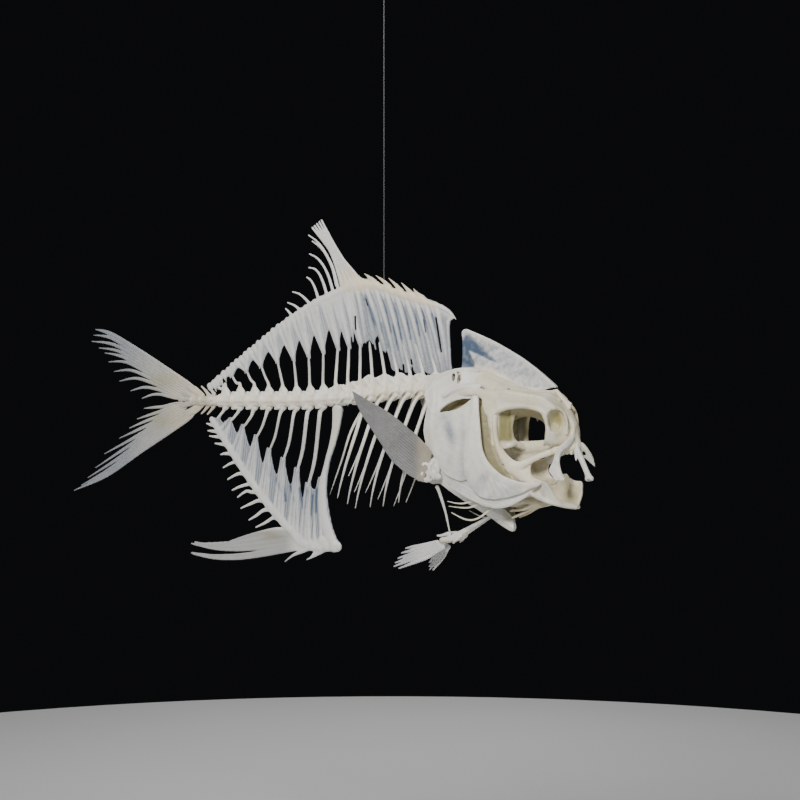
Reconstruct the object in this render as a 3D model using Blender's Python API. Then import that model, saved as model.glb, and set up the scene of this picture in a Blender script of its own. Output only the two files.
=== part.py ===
"""Skeleton of a snub-nosed pompano, hung by one line from a small ceiling plate, at life size.

The script is in metres, +Z up. Inside it, places on the fish are given in millimetres in the fish's own
frame: +X towards the snout, +Y towards the fish's left, +Z up, with the hanging line at x = 0 and the axis
of the tail at z = 0. The fish's frame hangs AXIS_DROP below the row's origin, which is the middle of the
ceiling plate's top face.
"""

import math

import bmesh
import bpy
from mathutils import Euler, Vector
from mathutils.geometry import delaunay_2d_cdt

MM = 0.001

# ---------------------------------------------------------------- driving sizes, in millimetres
AXIS_DROP = 330.0

OCCIPUT_X = 66.0
TRUNK_VERTEBRAE = 10
TRUNK_LENGTH = 11.6
TAIL_VERTEBRAE = 8
TAIL_FIRST_LENGTH = 12.8
TAIL_LAST_LENGTH = 15.6
END_VERTEBRAE = 3
END_LENGTH = 10.0
CENTRUM_R = 6.2
TRUNK_CENTRUM_R = 7.4
CENTRUM_END_R = 4.4
WAIST = 0.76

RIBS = 8
RIB_REACH = -82.0
RIB_BULGE = 21.0

ANAL_RAYS = 12
SPINE_HALF = 1.35
SPINE_THIN = 0.75
RAY_HALF = 1.0
WEB_HALF = 0.45
LOBE_HALF = 0.8
PLATE = 1.1
THINNEST = 0.28

# How far each layer of the face lies inside the head's surface.
HYOMANDIBULA_LIFT = -3.2
BAR_LIFT = -3.4
PALATINE_LIFT = -3.6
CLEITHRUM_LIFT = -3.0

FAR_PELVIC_TURN = 24.0
FAR_PELVIC_SIZE = 0.8
FAR_MAXILLA_TURN = -60.0

LINE_R = 0.45
LINE_STEPS = 12
LINE_TIE_Z = 91.5
PLATE_R = 14.0
PLATE_H = 3.0
HOOK_DROP = 9.0
EYE_R = 3.0
WIRE_R = 0.75
FIT_GAP = 0.35

BONE = ("bone", (0.80, 0.77, 0.68), 0.55, 0.0)
BLADE_BONE = ("blade_bone", (0.70, 0.72, 0.74), 0.45, 0.0)
YELLOW_BONE = ("skull_bone", (0.78, 0.73, 0.58), 0.5, 0.0)
NYLON = ("nylon", (0.75, 0.77, 0.78), 0.2, 0.0)
STEEL = ("steel", (0.62, 0.62, 0.63), 0.35, 1.0)

# Half-width of the head along its length, at its widest level: (x, half-width).
HEAD_HALF_WIDTHS = [(30, 25), (60, 28), (90, 27), (110, 25), (130, 22), (150, 17), (160, 13), (172, 8),
                    (186, 5)]
HEAD_MID_Z = -25.0
HEAD_UP = 48.0
HEAD_DOWN = 80.0


# ---------------------------------------------------------------- small helpers
def clear_scene():
    for obj in list(bpy.data.objects):
        bpy.data.objects.remove(obj, do_unlink=True)


def material(finish):
    name, colour, roughness, metallic = finish
    made = bpy.data.materials.get(name)
    if made is None:
        made = bpy.data.materials.new(name)
        made.use_nodes = True
        shader = made.node_tree.nodes["Principled BSDF"]
        shader.inputs["Base Color"].default_value = (*colour, 1.0)
        shader.inputs["Roughness"].default_value = roughness
        shader.inputs["Metallic"].default_value = metallic
        made.diffuse_color = (*colour, 1.0)
    return made


def between(value, table):
    """Straight-line reading of a table of (place, amount)."""
    if value <= table[0][0]:
        return table[0][1]
    for (a, low), (b, high) in zip(table, table[1:]):
        if value <= b:
            return low + (high - low) * (value - a) / (b - a)
    return table[-1][1]


def smooth(t):
    t = min(1.0, max(0.0, t))
    return t * t * (3 - 2 * t)


def mix(a, b, t):
    return a + (b - a) * t


def catmull_rom(values, t):
    a, b, c, d = values
    bend = (2 * a - 5 * b + 4 * c - d) * t * t + (3 * b - a - 3 * c + d) * t ** 3
    return 0.5 * (2 * b + (c - a) * t + bend)


def spline(points, per_span, closed=False):
    """A Catmull-Rom curve through tuples of any length, with per_span steps between two of them."""
    count = len(points)
    spans = count if closed else count - 1
    made = []
    for i in range(spans):
        if closed:
            p = [points[(i + k - 1) % count] for k in range(4)]
        else:
            p = [points[min(count - 1, max(0, i + k - 1))] for k in range(4)]
        for step in range(per_span):
            made.append(tuple(catmull_rom(values, step / per_span) for values in zip(*p)))
    if not closed:
        made.append(tuple(points[-1]))
    return made


def mesh_of(name, points, faces):
    mesh = bpy.data.meshes.new(name)
    mesh.from_pydata([Vector(p) * MM for p in points], [], faces)
    work = bmesh.new()
    work.from_mesh(mesh)
    bmesh.ops.recalc_face_normals(work, faces=work.faces)
    if work.calc_volume(signed=True) < 0:
        bmesh.ops.reverse_faces(work, faces=work.faces)
    work.to_mesh(mesh)
    work.free()
    return mesh


# ---------------------------------------------------------------- the three ways to make a bone
def rod(path, per_span=3, sides=6, flat=(0, 1, 0)):
    """A tapering rod. path holds (x, y, z, half-width, half-thickness), and the thickness lies along flat."""
    rings = spline(path, per_span) if len(path) > 2 else [tuple(p) for p in path]
    places = [Vector(r[:3]) for r in rings]
    points = []
    for i, ring in enumerate(rings):
        along = (places[min(i + 1, len(rings) - 1)] - places[max(i - 1, 0)]).normalized()
        through = Vector(flat) - along * along.dot(Vector(flat))
        if through.length < 1e-3:
            through = along.orthogonal()
        through.normalize()
        across = along.cross(through)
        for k in range(sides):
            turn = 2 * math.pi * (k + 0.5) / sides
            points.append(places[i] + across * (max(ring[3], THINNEST) * math.cos(turn))
                          + through * (max(ring[4], THINNEST) * math.sin(turn)))
    faces = []
    for i in range(len(rings) - 1):
        for k in range(sides):
            a, b = i * sides + k, i * sides + (k + 1) % sides
            faces.append((a, b, b + sides, a + sides))
    faces.append(tuple(range(sides)))
    last = (len(rings) - 1) * sides
    faces.append(tuple(range(last, last + sides)))
    return points, faces


def loft(sections, sides=14, per_span=2, power=2.3):
    """A body through ovals that stand across the fish: (x, middle z, half-height, half-width, sideways)."""
    rings = spline(sections, per_span)
    points = []
    for x, z, high, wide, y in rings:
        for k in range(sides):
            turn = 2 * math.pi * (k + 0.5) / sides
            c, s = math.cos(turn), math.sin(turn)
            points.append((
                x,
                y + wide * math.copysign(abs(c) ** (2 / power), c),
                z + high * math.copysign(abs(s) ** (2 / power), s),
            ))
    faces = []
    for i in range(len(rings) - 1):
        for k in range(sides):
            a, b = i * sides + k, i * sides + (k + 1) % sides
            faces.append((a, b, b + sides, a + sides))
    faces.append(tuple(range(sides)))
    last = (len(rings) - 1) * sides
    faces.append(tuple(range(last, last + sides)))
    return points, faces


def inside(point, ring):
    x, z = point
    hit = False
    for (x0, z0), (x1, z1) in zip(ring, ring[1:] + ring[:1]):
        if (z0 > z) != (z1 > z) and x < x0 + (x1 - x0) * (z - z0) / (z1 - z0):
            hit = not hit
    return hit


def near_ring(point, ring, reach):
    p = Vector(point)
    return any((p - Vector(q)).length < reach for q in ring)


def plate(outline, front, back, spacing=7.0, per_span=2):
    """A thin bone: an outline in (x, z), rounded through its points, from y = front(x, z) to back(x, z)."""
    ring = spline(outline, per_span, closed=True)
    flat = list(ring)
    edges = [(i, (i + 1) % len(ring)) for i in range(len(ring))]
    low_x, high_x = min(p[0] for p in ring), max(p[0] for p in ring)
    low_z, high_z = min(p[1] for p in ring), max(p[1] for p in ring)
    for j in range(1, int((high_z - low_z) / spacing) + 1):
        for i in range(1, int((high_x - low_x) / spacing) + 1):
            p = (low_x + (i + 0.5 * (j % 2)) * spacing, low_z + j * spacing)
            if inside(p, ring) and not near_ring(p, ring, 0.6 * spacing):
                flat.append(p)
    points2, _, triangles, _, _, _ = delaunay_2d_cdt([Vector(p) for p in flat], edges, [], 0, 1e-6)
    kept = []
    for tri in triangles:
        middle = sum((points2[i] for i in tri), Vector((0, 0))) / 3
        if inside(middle, ring):
            kept.append(tuple(tri))
    count = len(points2)
    points = [(p.x, front(p.x, p.y), p.y) for p in points2] + [(p.x, back(p.x, p.y), p.y) for p in points2]
    faces = kept + [tuple(count + i for i in reversed(tri)) for tri in kept]
    used = {}
    for tri in kept:
        for a, b in zip(tri, tri[1:] + tri[:1]):
            used[(a, b)] = True
    for a, b in used:
        if (b, a) not in used:
            faces.append((b, a, a + count, b + count))
    return points, faces


def head_half(x, z):
    """Half-width of the head where the bones of its sides lie."""
    wide = between(x, HEAD_HALF_WIDTHS)
    off = (z - HEAD_MID_Z) / (HEAD_UP if z > HEAD_MID_Z else HEAD_DOWN)
    return wide * math.sqrt(max(0.03, 1 - abs(off) ** 2.2))


def side_plate(outline, side, lift, thick=PLATE, spacing=9.0, per_span=1, narrow=None):
    """A plate on the side of the head. lift moves it out from the head's surface, narrow(z) scales that."""
    def out(x, z, depth):
        scale = narrow(z) if narrow else 1.0
        return side * max(head_half(x, z) * scale + lift - depth, 1.1 - depth * 0.55)

    return plate(outline, lambda x, z: out(x, z, 0), lambda x, z: out(x, z, thick), spacing, per_span)


def turned(point, centre, degrees, size=1.0):
    """A point of (x, z) turned about another, and drawn in to a size."""
    off = Vector((point[0] - centre[0], 0, point[1] - centre[1])) * size
    off.rotate(Euler((0, -math.radians(degrees), 0)))
    return centre[0] + off.x, centre[1] + off.z


# ---------------------------------------------------------------- objects
def bone(name, shapes, finish, frame):
    """One node: the first shape, with the others joined to it by a Boolean union."""
    body = bpy.data.objects.new(name, mesh_of(name, *shapes[0]))
    body.data.materials.append(material(finish))
    bpy.context.scene.collection.objects.link(body)
    body.parent = frame
    if len(shapes) > 1:
        join(body, shapes[1:], frame)
    return body


def join(body, shapes, frame):
    """Makes shapes part of a node by a Boolean union."""
    helpers = bpy.data.collections.new(body.name + "_pieces")
    bpy.context.scene.collection.children.link(helpers)
    for shape in shapes:
        piece = bpy.data.objects.new(body.name + "_piece", mesh_of(body.name + "_piece", *shape))
        piece.parent = frame
        piece.hide_render = True
        piece.display_type = "WIRE"
        helpers.objects.link(piece)
    union = body.modifiers.new("join", "BOOLEAN")
    union.operation = "UNION"
    union.operand_type = "COLLECTION"
    union.collection = helpers
    union.solver = "EXACT"
    union.use_self = True


def cut(body, shape, frame):
    """Takes a shape away from a node."""
    tool = bpy.data.objects.new(body.name + "_cutter", mesh_of(body.name + "_cutter", *shape))
    tool.parent = frame
    tool.hide_render = True
    tool.display_type = "WIRE"
    bpy.context.scene.collection.objects.link(tool)
    modifier = body.modifiers.new("cut", "BOOLEAN")
    modifier.operation = "DIFFERENCE"
    modifier.object = tool
    modifier.solver = "EXACT"
    return tool


def block(low, high):
    points = [(x, y, z) for x in (low[0], high[0]) for y in (low[1], high[1]) for z in (low[2], high[2])]
    faces = [(0, 1, 3, 2), (4, 6, 7, 5), (0, 4, 5, 1), (2, 3, 7, 6), (0, 2, 6, 4), (1, 5, 7, 3)]
    return points, faces


# ---------------------------------------------------------------- lines that several bones share
# Tables of (x, z). The ends and leans of the spines are read at the x of the spine's own root.
RIDGE = [(-174, 13), (-147, 33), (-106, 59), (-81, 75), (-51, 87), (-24, 95), (-4, 91), (15, 84), (42, 77),
         (57, 70), (63, 62)]
AXIS = [(-200, -0.5), (-81, -0.5), (-32, 2), (15, 7), (66, 8.5)]
NEURAL_TOP = [(-162, 9.5), (-147, 19.5), (-129, 24), (-99, 32), (-71, 37), (-47, 43), (-20, 46), (60, 44)]
NEURAL_LEAN = [(-161, -9), (-113, -8), (-85, -3), (-58, -1), (-30, -5), (60, -8)]
HAEMAL_TIP = [(-161, -15), (-130, -22), (-115, -31), (-88, -53), (-62, -74)]
HAEMAL_LEAN = [(-161, -8), (-130, -7), (-101, -11), (-62, -11)]
ANAL_RIDGE = [(-172, -18), (-161, -32), (-142, -56), (-119, -82), (-91, -108), (-76, -119), (-44, -119)]
TEETH_INTERLOCK_X = -40.0
STRUT_X = -60.0


def vertebra_joints():
    """Where the column is jointed, from the skull to the last vertebra."""
    lengths = [TRUNK_LENGTH] * TRUNK_VERTEBRAE
    for i in range(TAIL_VERTEBRAE):
        lengths.append(mix(TAIL_FIRST_LENGTH, TAIL_LAST_LENGTH, i / (TAIL_VERTEBRAE - 1)))
    lengths += [END_LENGTH] * END_VERTEBRAE
    joints = [OCCIPUT_X]
    for length in lengths:
        joints.append(joints[-1] - length)
    return joints


def centrum_half(x):
    return between(x, [(-196, CENTRUM_END_R), (-150, CENTRUM_R), (-60, CENTRUM_R), (0, TRUNK_CENTRUM_R)])


def centra(joints, sides=8):
    """A run of hourglass centra as one body."""
    sections = []
    for front, rear in zip(joints, joints[1:]):
        for share, size in ((0.06, 1.0), (0.5, WAIST), (0.94, 1.0)):
            x = mix(front, rear, share)
            r = centrum_half(x) * size
            sections.append((x, between(x, AXIS), r, r * 0.9, 0.0))
    return loft(sections[::-1], sides=sides, per_span=1, power=2.0)


def neural_spine(x, base_sink=3.0, half=SPINE_HALF):
    z = between(x, AXIS)
    top = between(x, NEURAL_TOP)
    lean = between(x, NEURAL_LEAN)
    root = z + centrum_half(x) - base_sink
    return rod([
        (x, 0, root, 3.4, 2.2),
        (x + 0.12 * lean, 0, mix(root, top, 0.3), half * 1.1, SPINE_THIN * 1.3),
        (x + lean, 0, top, half, SPINE_THIN),
    ], per_span=1, sides=4)


def haemal_spine(x):
    z = between(x, AXIS) - CENTRUM_R + 2.5
    tip, lean = between(x, HAEMAL_TIP), between(x, HAEMAL_LEAN)
    return rod([
        (x, 0, z, 3.2, 2.2),
        (x + 0.1 * lean, 0, mix(z, tip, 0.3), SPINE_HALF * 1.1, SPINE_THIN * 1.3),
        (x + lean, 0, tip, SPINE_HALF, SPINE_THIN),
    ], per_span=1, sides=4)


def spine_places(joints):
    return [mix(a, b, 0.62) for a, b in zip(joints, joints[1:])]


def past_tip(x, tips, leans, gap):
    """Two points of a tooth that meets, end to end, the spine that grows from x."""
    tip = Vector((x + between(x, leans), between(x, tips)))
    along = (tip - Vector((x, between(x, AXIS)))).normalized()
    across = Vector((abs(along.y), -along.x * math.copysign(1, along.y))) * 1.6
    tip += along * gap
    return [tuple(tip - across), tuple(tip + across)]


def fan(rays, notch):
    """The outline of a bundle of fin rays, each (base, middle, tip), that part near their tips."""
    outline = [rays[0][0], rays[0][1]]
    for i, (_, middle, tip) in enumerate(rays):
        back = Vector(middle) - Vector(tip)
        side = Vector((-back.y, back.x)).normalized() * RAY_HALF
        if side.dot(Vector(rays[0][1]) - Vector(rays[-1][1])) < 0:
            side = -side
        outline += [tuple(Vector(tip) + side), tuple(Vector(tip) - side)]
        if i + 1 < len(rays):
            near = (Vector(middle) + Vector(rays[i + 1][1])) / 2
            far = (Vector(tip) + Vector(rays[i + 1][2])) / 2
            outline.append(tuple(near.lerp(far, notch)))
    return outline + [rays[-1][1], rays[-1][0]]


def flat_plate(outline, half):
    return plate(outline, lambda x, z: -half, lambda x, z: half, 12.0, 1)


# ---------------------------------------------------------------- fins and column
def dorsal_web_outline(places):
    """The fence of fin supports under the back: the ridge above, teeth that meet or pass the spines below."""
    low = []
    for rear, front in zip(places[::-1], places[::-1][1:]):
        x_rear = rear + between(rear, NEURAL_LEAN)
        x_front = front + between(front, NEURAL_LEAN)
        top = between(rear, NEURAL_TOP)
        middle = (x_rear + x_front) / 2
        if rear < TEETH_INTERLOCK_X:
            low += past_tip(rear, NEURAL_TOP, NEURAL_LEAN, 0.7)
            rise = 0.45 * (between(middle, RIDGE) - top)
            low += [(middle - 1.5, top + rise), (middle + 1.5, top + rise)]
        else:
            low += [(x_rear - 2.2, top + 3), (x_rear + 2.2, top + 3)]
            foot = (rear + front) / 2 - 1.0
            low += [(foot - 2.6, 26.5), (foot + 2.6, 26.5)]
    return [(-168, 14.6)] + low + [(61.5, 24), (60.5, 42), (58.5, 60)]


def dorsal_fin(frame):
    places = [x for x in spine_places(vertebra_joints()) if x > -155]
    low = dorsal_web_outline(places)
    web = flat_plate(RIDGE + low[::-1], WEB_HALF)
    thick = [smooth((x - RIDGE[0][0]) / 95) for x, _ in RIDGE]
    ridge = rod([(x, 0, z - 1.2, 1.5 + 1.2 * t, 0.9 + 0.9 * t) for (x, z), t in zip(RIDGE, thick)], 1, 6)
    hook = rod([(56, 0, 69, 2.6, 1.3), (61, 0, 65, 1.8, 1.1), (65.5, 0, 60.5, 0.5, 0.5)], 1, 5)
    spines = []
    for x in (-11, 1, 13, 23.5, 31.5):
        z = between(x, RIDGE)
        spines.append(rod([(x + 5, 0, z - 4.5, 2.2, 0.95), (x - 1, 0, z + 1, 1.8, 0.85),
                           (x - 8, 0, z + 8, 0.4, 0.4)], 1, 4))
    lobe = flat_plate(fan([
        ((-19, 92), (-38, 114), (-58.5, 147)),
        ((-27, 90), (-43, 113), (-64, 145)),
        ((-35, 89), (-48, 112), (-70, 141)),
    ], 0.55), LOBE_HALF)
    rays = [
        [(-37, 88), (-55, 120), (-73, 134)],
        [(-46, 86), (-56, 108), (-72, 119)],
        [(-54, 84), (-62, 101), (-72, 108)],
        [(-60, 80), (-67, 94), (-75, 99)],
        [(-70, 77), (-78, 84), (-89, 89)],
        [(-79, 72), (-87, 77), (-94, 80)],
        [(-88, 66), (-92, 71), (-96, 75)],
    ]
    rods = [rod([(a[0], 0, a[1], 1.5, 0.7), (b[0], 0, b[1], 1.2, 0.62), (c[0], 0, c[1], 0.6, 0.45)], 1, 4)
            for a, b, c in rays]
    bone("dorsal_fin", [web, ridge, hook, lobe] + spines + rods, BLADE_BONE, frame)


def anal_fin(frame):
    places = [x for x in spine_places(vertebra_joints()) if -165 < x < STRUT_X]
    edge = []
    for rear, front in zip(places[::-1], places[::-1][1:] + [STRUT_X + 8]):
        x_rear, z_rear = rear + between(rear, HAEMAL_LEAN), between(rear, HAEMAL_TIP)
        x_front = front + between(front, HAEMAL_LEAN)
        z_front = between(front, HAEMAL_TIP)
        edge += past_tip(rear, HAEMAL_TIP, HAEMAL_LEAN, 0.7)
        depth = 4 + 14 * smooth((x_rear + 170) / 60)
        x_mid, z_mid = (x_rear + x_front) / 2, min(z_rear, z_front)
        edge += [(x_mid - 2.4, z_mid - depth), (x_mid + 0.6, z_mid - depth)]
    web = flat_plate(ANAL_RIDGE + [(-50, -100), (-55, -78)] + edge[::-1], WEB_HALF)
    thick = [smooth((x - ANAL_RIDGE[0][0]) / 110) for x, _ in ANAL_RIDGE]
    ridge = rod([(x, 0, z, 1.6 + 1.8 * t, 0.9 + 0.9 * t) for (x, z), t in zip(ANAL_RIDGE, thick)], 1, 6)
    strut = rod([(-55.5, 0, -8.5, 4.6, 1.6), (-58.5, 0, -40, 3.6, 1.5), (-61, 0, -68, 3.6, 1.45),
                 (-59, 0, -88, 4.4, 1.4), (-52, 0, -106, 5.5, 1.5), (-47, 0, -118, 3.2, 1.6)], 1, 6)
    spines = []
    for x, z, reach in ((-57, -118, 17), (-72, -118, 25)):
        spines.append(rod([(x, 0, z, 2.4, 1.05), (x - 8, 0, z - 7, 1.8, 0.95),
                           (x - reach, 0, z - 11, 0.5, 0.45)], 1, 5))
    lobe = flat_plate(fan([
        ((-78, -119), (-138, -133), (-192, -132.5)),
        ((-82, -114), (-136, -125.5), (-193, -123)),
        ((-84, -110), (-128, -119.5), (-160, -118.5)),
        ((-88, -108), (-118, -112.5), (-142, -112)),
    ], 0.35), LOBE_HALF)
    rays = []
    for i in range(ANAL_RAYS):
        share = i / (ANAL_RAYS - 1)
        x = mix(-98, -167, share)
        z = between(x, ANAL_RIDGE)
        length = mix(23, 9, share)
        tilt = math.radians(mix(208, 182, share))
        rays.append(rod([
            (x + 2, 0, z + 1, 1.3, 0.75),
            (x + 0.5 * length * math.cos(tilt), 0, z + 0.42 * length * math.sin(tilt), 1.0, 0.6),
            (x + length * math.cos(tilt), 0, z + length * math.sin(tilt), 0.5, 0.42),
        ], 1, 4))
    bone("anal_fin", [web, ridge, strut, lobe] + spines + rays, BLADE_BONE, frame)


def caudal_fin(frame):
    upper = fan([
        ((-199, 15), (-251, 43), (-302, 64.5)), ((-202, 11.5), (-248, 36), (-307, 52)),
        ((-205, 9), (-244, 29), (-293, 42)), ((-208, 6.5), (-240, 22), (-287, 33)),
        ((-210, 4), (-236, 13), (-275, 16.5)), ((-211, 1), (-229, 4), (-249, 2)),
    ], 0.4)
    lower = fan([
        ((-211, -3), (-226, -7), (-246, -8)), ((-210, -6), (-229, -12), (-255, -17)),
        ((-208, -9), (-234, -19), (-265, -25)), ((-206, -12), (-240, -29), (-293, -48)),
        ((-203, -15), (-246, -37), (-318, -71)), ((-198, -18.5), (-249, -49.5), (-329, -82)),
    ], 0.4)
    for name, outline, spine in (
        ("caudal_fin_upper", upper, [(-202, 13.6), (-251, 38.5), (-301, 60.5)]),
        ("caudal_fin_lower", lower, [(-202, -16), (-250, -44), (-327, -79)]),
    ):
        sizes = ((2.8, 1.6), (2.2, 1.15), (0.8, 0.6))
        edge = rod([(x, 0, z, half, thin) for (x, z), (half, thin) in zip(spine, sizes)], 3, 6)
        bone(name, [flat_plate(outline, 0.55), edge], BLADE_BONE, frame)


def column(frame):
    joints = vertebra_joints()
    tail_start, end_start = TRUNK_VERTEBRAE, TRUNK_VERTEBRAE + TAIL_VERTEBRAE
    trunk = joints[:tail_start + 1]
    tail = joints[tail_start:end_start + 1]
    end = joints[end_start:]

    # The arches stand on the trunk's vertebrae as one comb, with the spines on it.
    places = spine_places(trunk)
    foot = [(x, between(x, AXIS) + centrum_half(x) + 0.5) for x in (63, 40, 15, -9, -32, -49)]
    comb = flat_plate(foot + [(-50, 11.5), (-32, 14), (-9, 19), (15, 23.5), (40, 24.5), (60, 23.5)], 2.0)
    spines = [neural_spine(x, base_sink=-3.0, half=1.75) for x in places[1:]]
    bone("neural_arches", [comb] + spines, BONE, frame)

    for name, side in (("rib_cage_right", -1), ("rib_cage_left", 1)):
        middles = [mix(a, b, 0.5) for a, b in zip(trunk, trunk[1:])]
        ribs = [rib(x, side) for x in middles[1:1 + RIBS]]
        half = bone(name, [centra(trunk)] + ribs, BONE, frame)
        from_y, to_y = sorted((side * 0.2, -side * 40))
        cut(half, block((-80, from_y, -60), (80, to_y, 60)), frame)

    places = spine_places(tail)
    shapes = [centra([tail[0] - 0.6] + tail[1:])]
    shapes += [neural_spine(x) for x in places]
    shapes += [haemal_spine(x) for x in places if x < STRUT_X]
    bone("tail_vertebrae", shapes, BONE, frame)

    hypural = flat_plate([(-180, 3), (-188, 8.5), (-196, 12), (-201.5, 8), (-206, 3), (-207.5, -1),
                          (-206, -4.5), (-201.5, -9.5), (-195.5, -15), (-187, -11.5), (-180, -4)], 1.5)
    short = []
    for x in (-172, -179):
        for s in (1, -1):
            short.append(rod([(x + 1, 0, s * 3, 1.4, 1.0), (x - 6, 0, s * 9, 0.9, 0.8)], 1, 5))
    bone("tail_base", [centra([end[0] - 0.6] + end[1:]), hypural] + short, BONE, frame)


def rib(x, side):
    z = between(x, AXIS)
    bulge = between(x, [(-21, 12), (2, RIB_BULGE * 0.8), (40, RIB_BULGE)])
    tip = x - between(x, [(-21, 25), (25, 20)])
    return rod([
        (x, side * 3.0, z - 3, 1.7, 1.4),
        (x - 5, side * 8, z - 9.5, 1.2, 1.0),
        (mix(x, tip, 0.62), side * bulge, -34, 1.0, 0.8),
        (mix(x, tip, 0.9), side * bulge * 0.92, -62, 0.8, 0.6),
        (tip, side * bulge * 0.6, RIB_REACH, 0.5, 0.45),
    ], per_span=1, sides=4)


# ---------------------------------------------------------------- skull
def ellipsoid(centre, radii, sides):
    steps = 7
    turns = [math.pi * (i + 0.25) / (steps - 0.5) for i in range(steps)]
    ball = [(math.cos(turn), 0.0, math.sin(turn), math.sin(turn), 0.0) for turn in turns]
    points, faces = loft(ball, sides=sides, per_span=1, power=2.0)
    return [tuple(c + p * r for c, p, r in zip(centre, point, radii)) for point in points], faces


def neurocranium(frame):
    braincase = loft([
        (66.5, 8.5, 7, 6, 0), (74, 6, 15, 9, 0), (84, 0, 23, 13, 0), (96, -5.5, 24, 16, 0),
        (108, -9.5, 23, 17, 0), (117, -13, 19, 14.5, 0), (122, -15, 13, 10, 0),
    ], sides=14, per_span=1)
    roof = loft([
        (88, 14, 10, 11, 0), (100, 8.5, 10.8, 16, 0), (112, 6.5, 8.3, 20, 0), (124, 3.1, 7.3, 21.5, 0),
        (138, 0.8, 6.7, 20, 0), (149.5, -0.6, 6.9, 17.5, 0), (155.5, -5.2, 5.7, 12, 0),
        (160.5, -12.5, 5.8, 7.5, 0),
    ], sides=14, per_span=1, power=2.6)
    ethmoid = loft([
        (146.5, -20, 14.5, 13.5, 0), (150, -20, 16.5, 16.5, 0), (154.5, -19.5, 16, 15.5, 0),
        (159, -20, 15.5, 9.5, 0), (163, -23, 13, 6, 0), (166, -25, 9, 4, 0),
    ], sides=14, per_span=1, power=2.5)
    keel = rod([(104, 0, -27, 4.5, 4), (116, 0, -33, 3.4, 2.8), (134, 0, -35, 3.0, 2.6),
                (150, 0, -34.5, 3.2, 3.2), (161, 0, -33, 3.0, 4.5)], per_span=2, sides=8)
    body = bone("neurocranium", [roof, ethmoid], YELLOW_BONE, frame)
    orbit = ellipsoid((130.4, 0.13, -18.2), (20, 60, 13.2), sides=16)
    nostrils = [ellipsoid((157.3, side * 14.5, -15), (5.2, 6.5, 7.6), sides=10) for side in (-1, 1)]
    for shape in [orbit] + nostrils:
        cut(body, shape, frame)
    join(body, [braincase, keel], frame)


def crest(frame):
    outline = [(69.5, 54), (73, 56), (84, 51), (112, 37), (129, 27), (151.5, 10), (137, 8.2), (120, 12.4),
               (103, 19), (86, 25.5), (69.8, 26.5)]

    def half(z):
        return mix(1.6, 0.5, smooth((z - 12) / 30))

    blade = plate(outline, lambda x, z: -half(z), lambda x, z: half(z), 9.0, 1)
    bone("supraoccipital_crest", [blade], BLADE_BONE, frame)


# Outlines in (x, z) of the plates that cover the cheek and the gill, and of the shoulder's blade.
OPERCLE = [(68, -9), (79, -6), (88, -3.5), (88.6, -22), (85.6, -41), (86, -55.5), (77, -57), (67, -52),
           (62, -37), (64, -22)]
PREOPERCLE = [(92.5, 1), (97.5, 0), (101, -22), (102.3, -35), (106, -44), (112, -51), (119, -56), (131, -60),
              (144, -61), (137, -65), (122, -71), (110, -73.5), (98, -71.5), (91.5, -64.5), (87.6, -56),
              (87, -41), (90, -22), (90.6, -4)]
SUBOPERCLE = [(66.5, -54), (77, -59), (86.5, -57.8), (91, -66), (98, -73.3), (110, -75.2), (122, -72.8),
              (132, -69), (130, -74), (117, -80), (105, -80), (90, -74.5), (74, -65.5)]
CLEITHRUM = [(47, 19), (49, 11), (52, -8), (50, -23), (53, -34), (56, -41), (50.5, -50), (50, -61), (57, -64),
             (64, -63), (73, -69.5), (82, -77), (92.5, -86), (104, -94), (114, -98.7), (117.5, -94),
             (116.5, -86), (108, -80), (96, -73), (84, -64), (72, -52), (67, -35), (66, -15), (62, 0),
             (59, 18)]


def face_bones(frame):
    for name, side in (("right", -1), ("left", 1)):
        bone(f"opercle_{name}", [side_plate(OPERCLE, side, 0, per_span=2)], BONE, frame)
        bone(f"preopercle_{name}", [side_plate(PREOPERCLE, side, 0, thick=1.4)], BONE, frame)
        bone(f"subopercle_{name}", [side_plate(SUBOPERCLE, side, 0)], BONE, frame)
        maxilla(name, side, frame)
        suspensorium(name, side, frame)
        premaxilla(name, side, frame)
        mandible(name, side, frame)


def suspensorium(name, side, frame):
    """What hangs the jaws from the skull: a sheet behind the eye, a stiff bar on it, and one to the snout."""
    hyomandibula = [(94, -8), (104, -5), (111, -9), (112.5, -22), (115.5, -36), (120, -43.5), (127, -49),
                    (137, -49), (136.5, -55), (139, -60), (134.5, -61.3), (120, -56.5), (108, -50), (98, -38),
                    (94, -22)]
    bar_places = [(108, -7, 2.6), (109.7, -22, 2.3), (113, -36, 2.5), (119, -46, 3.2), (127, -53, 3.6),
                  (136, -58, 2.6)]
    palatine_places = [(122, -49, 3.0), (138, -43.8, 2.4), (149, -39.3, 2.2), (155.5, -37, 1.7)]

    def on_side(places, lift, thin):
        return rod([(x, side * (head_half(x, z) + lift), z, half, thin) for x, z, half in places], 1, 6)

    sheet = side_plate(hyomandibula, side, HYOMANDIBULA_LIFT)
    bar = on_side(bar_places, BAR_LIFT, 1.5)
    palatine = on_side(palatine_places, PALATINE_LIFT, 1.3)
    bone(f"suspensorium_{name}", [sheet, bar, palatine], YELLOW_BONE, frame)


def maxilla(name, side, frame):
    """The right one hangs beside the mouth, the left one has swung back under the cheek."""
    outline = [(158, -36.5), (163, -38.5), (160, -45), (160.5, -52), (161.5, -58), (156.5, -60), (152, -54),
               (155, -45)]
    out = 13.2
    if side > 0:
        out = 11.6
        outline = [turned((x - 1, z - 4.5), (157, -41), FAR_MAXILLA_TURN) for x, z in outline]

    def face(x, depth):
        return side * (out + 0.07 * (160 - x) - depth)

    blade = plate(outline, lambda x, z: face(x, 0), lambda x, z: face(x, 1.3), 9.0, 1)
    bone(f"maxilla_{name}", [blade], BONE, frame)


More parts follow.
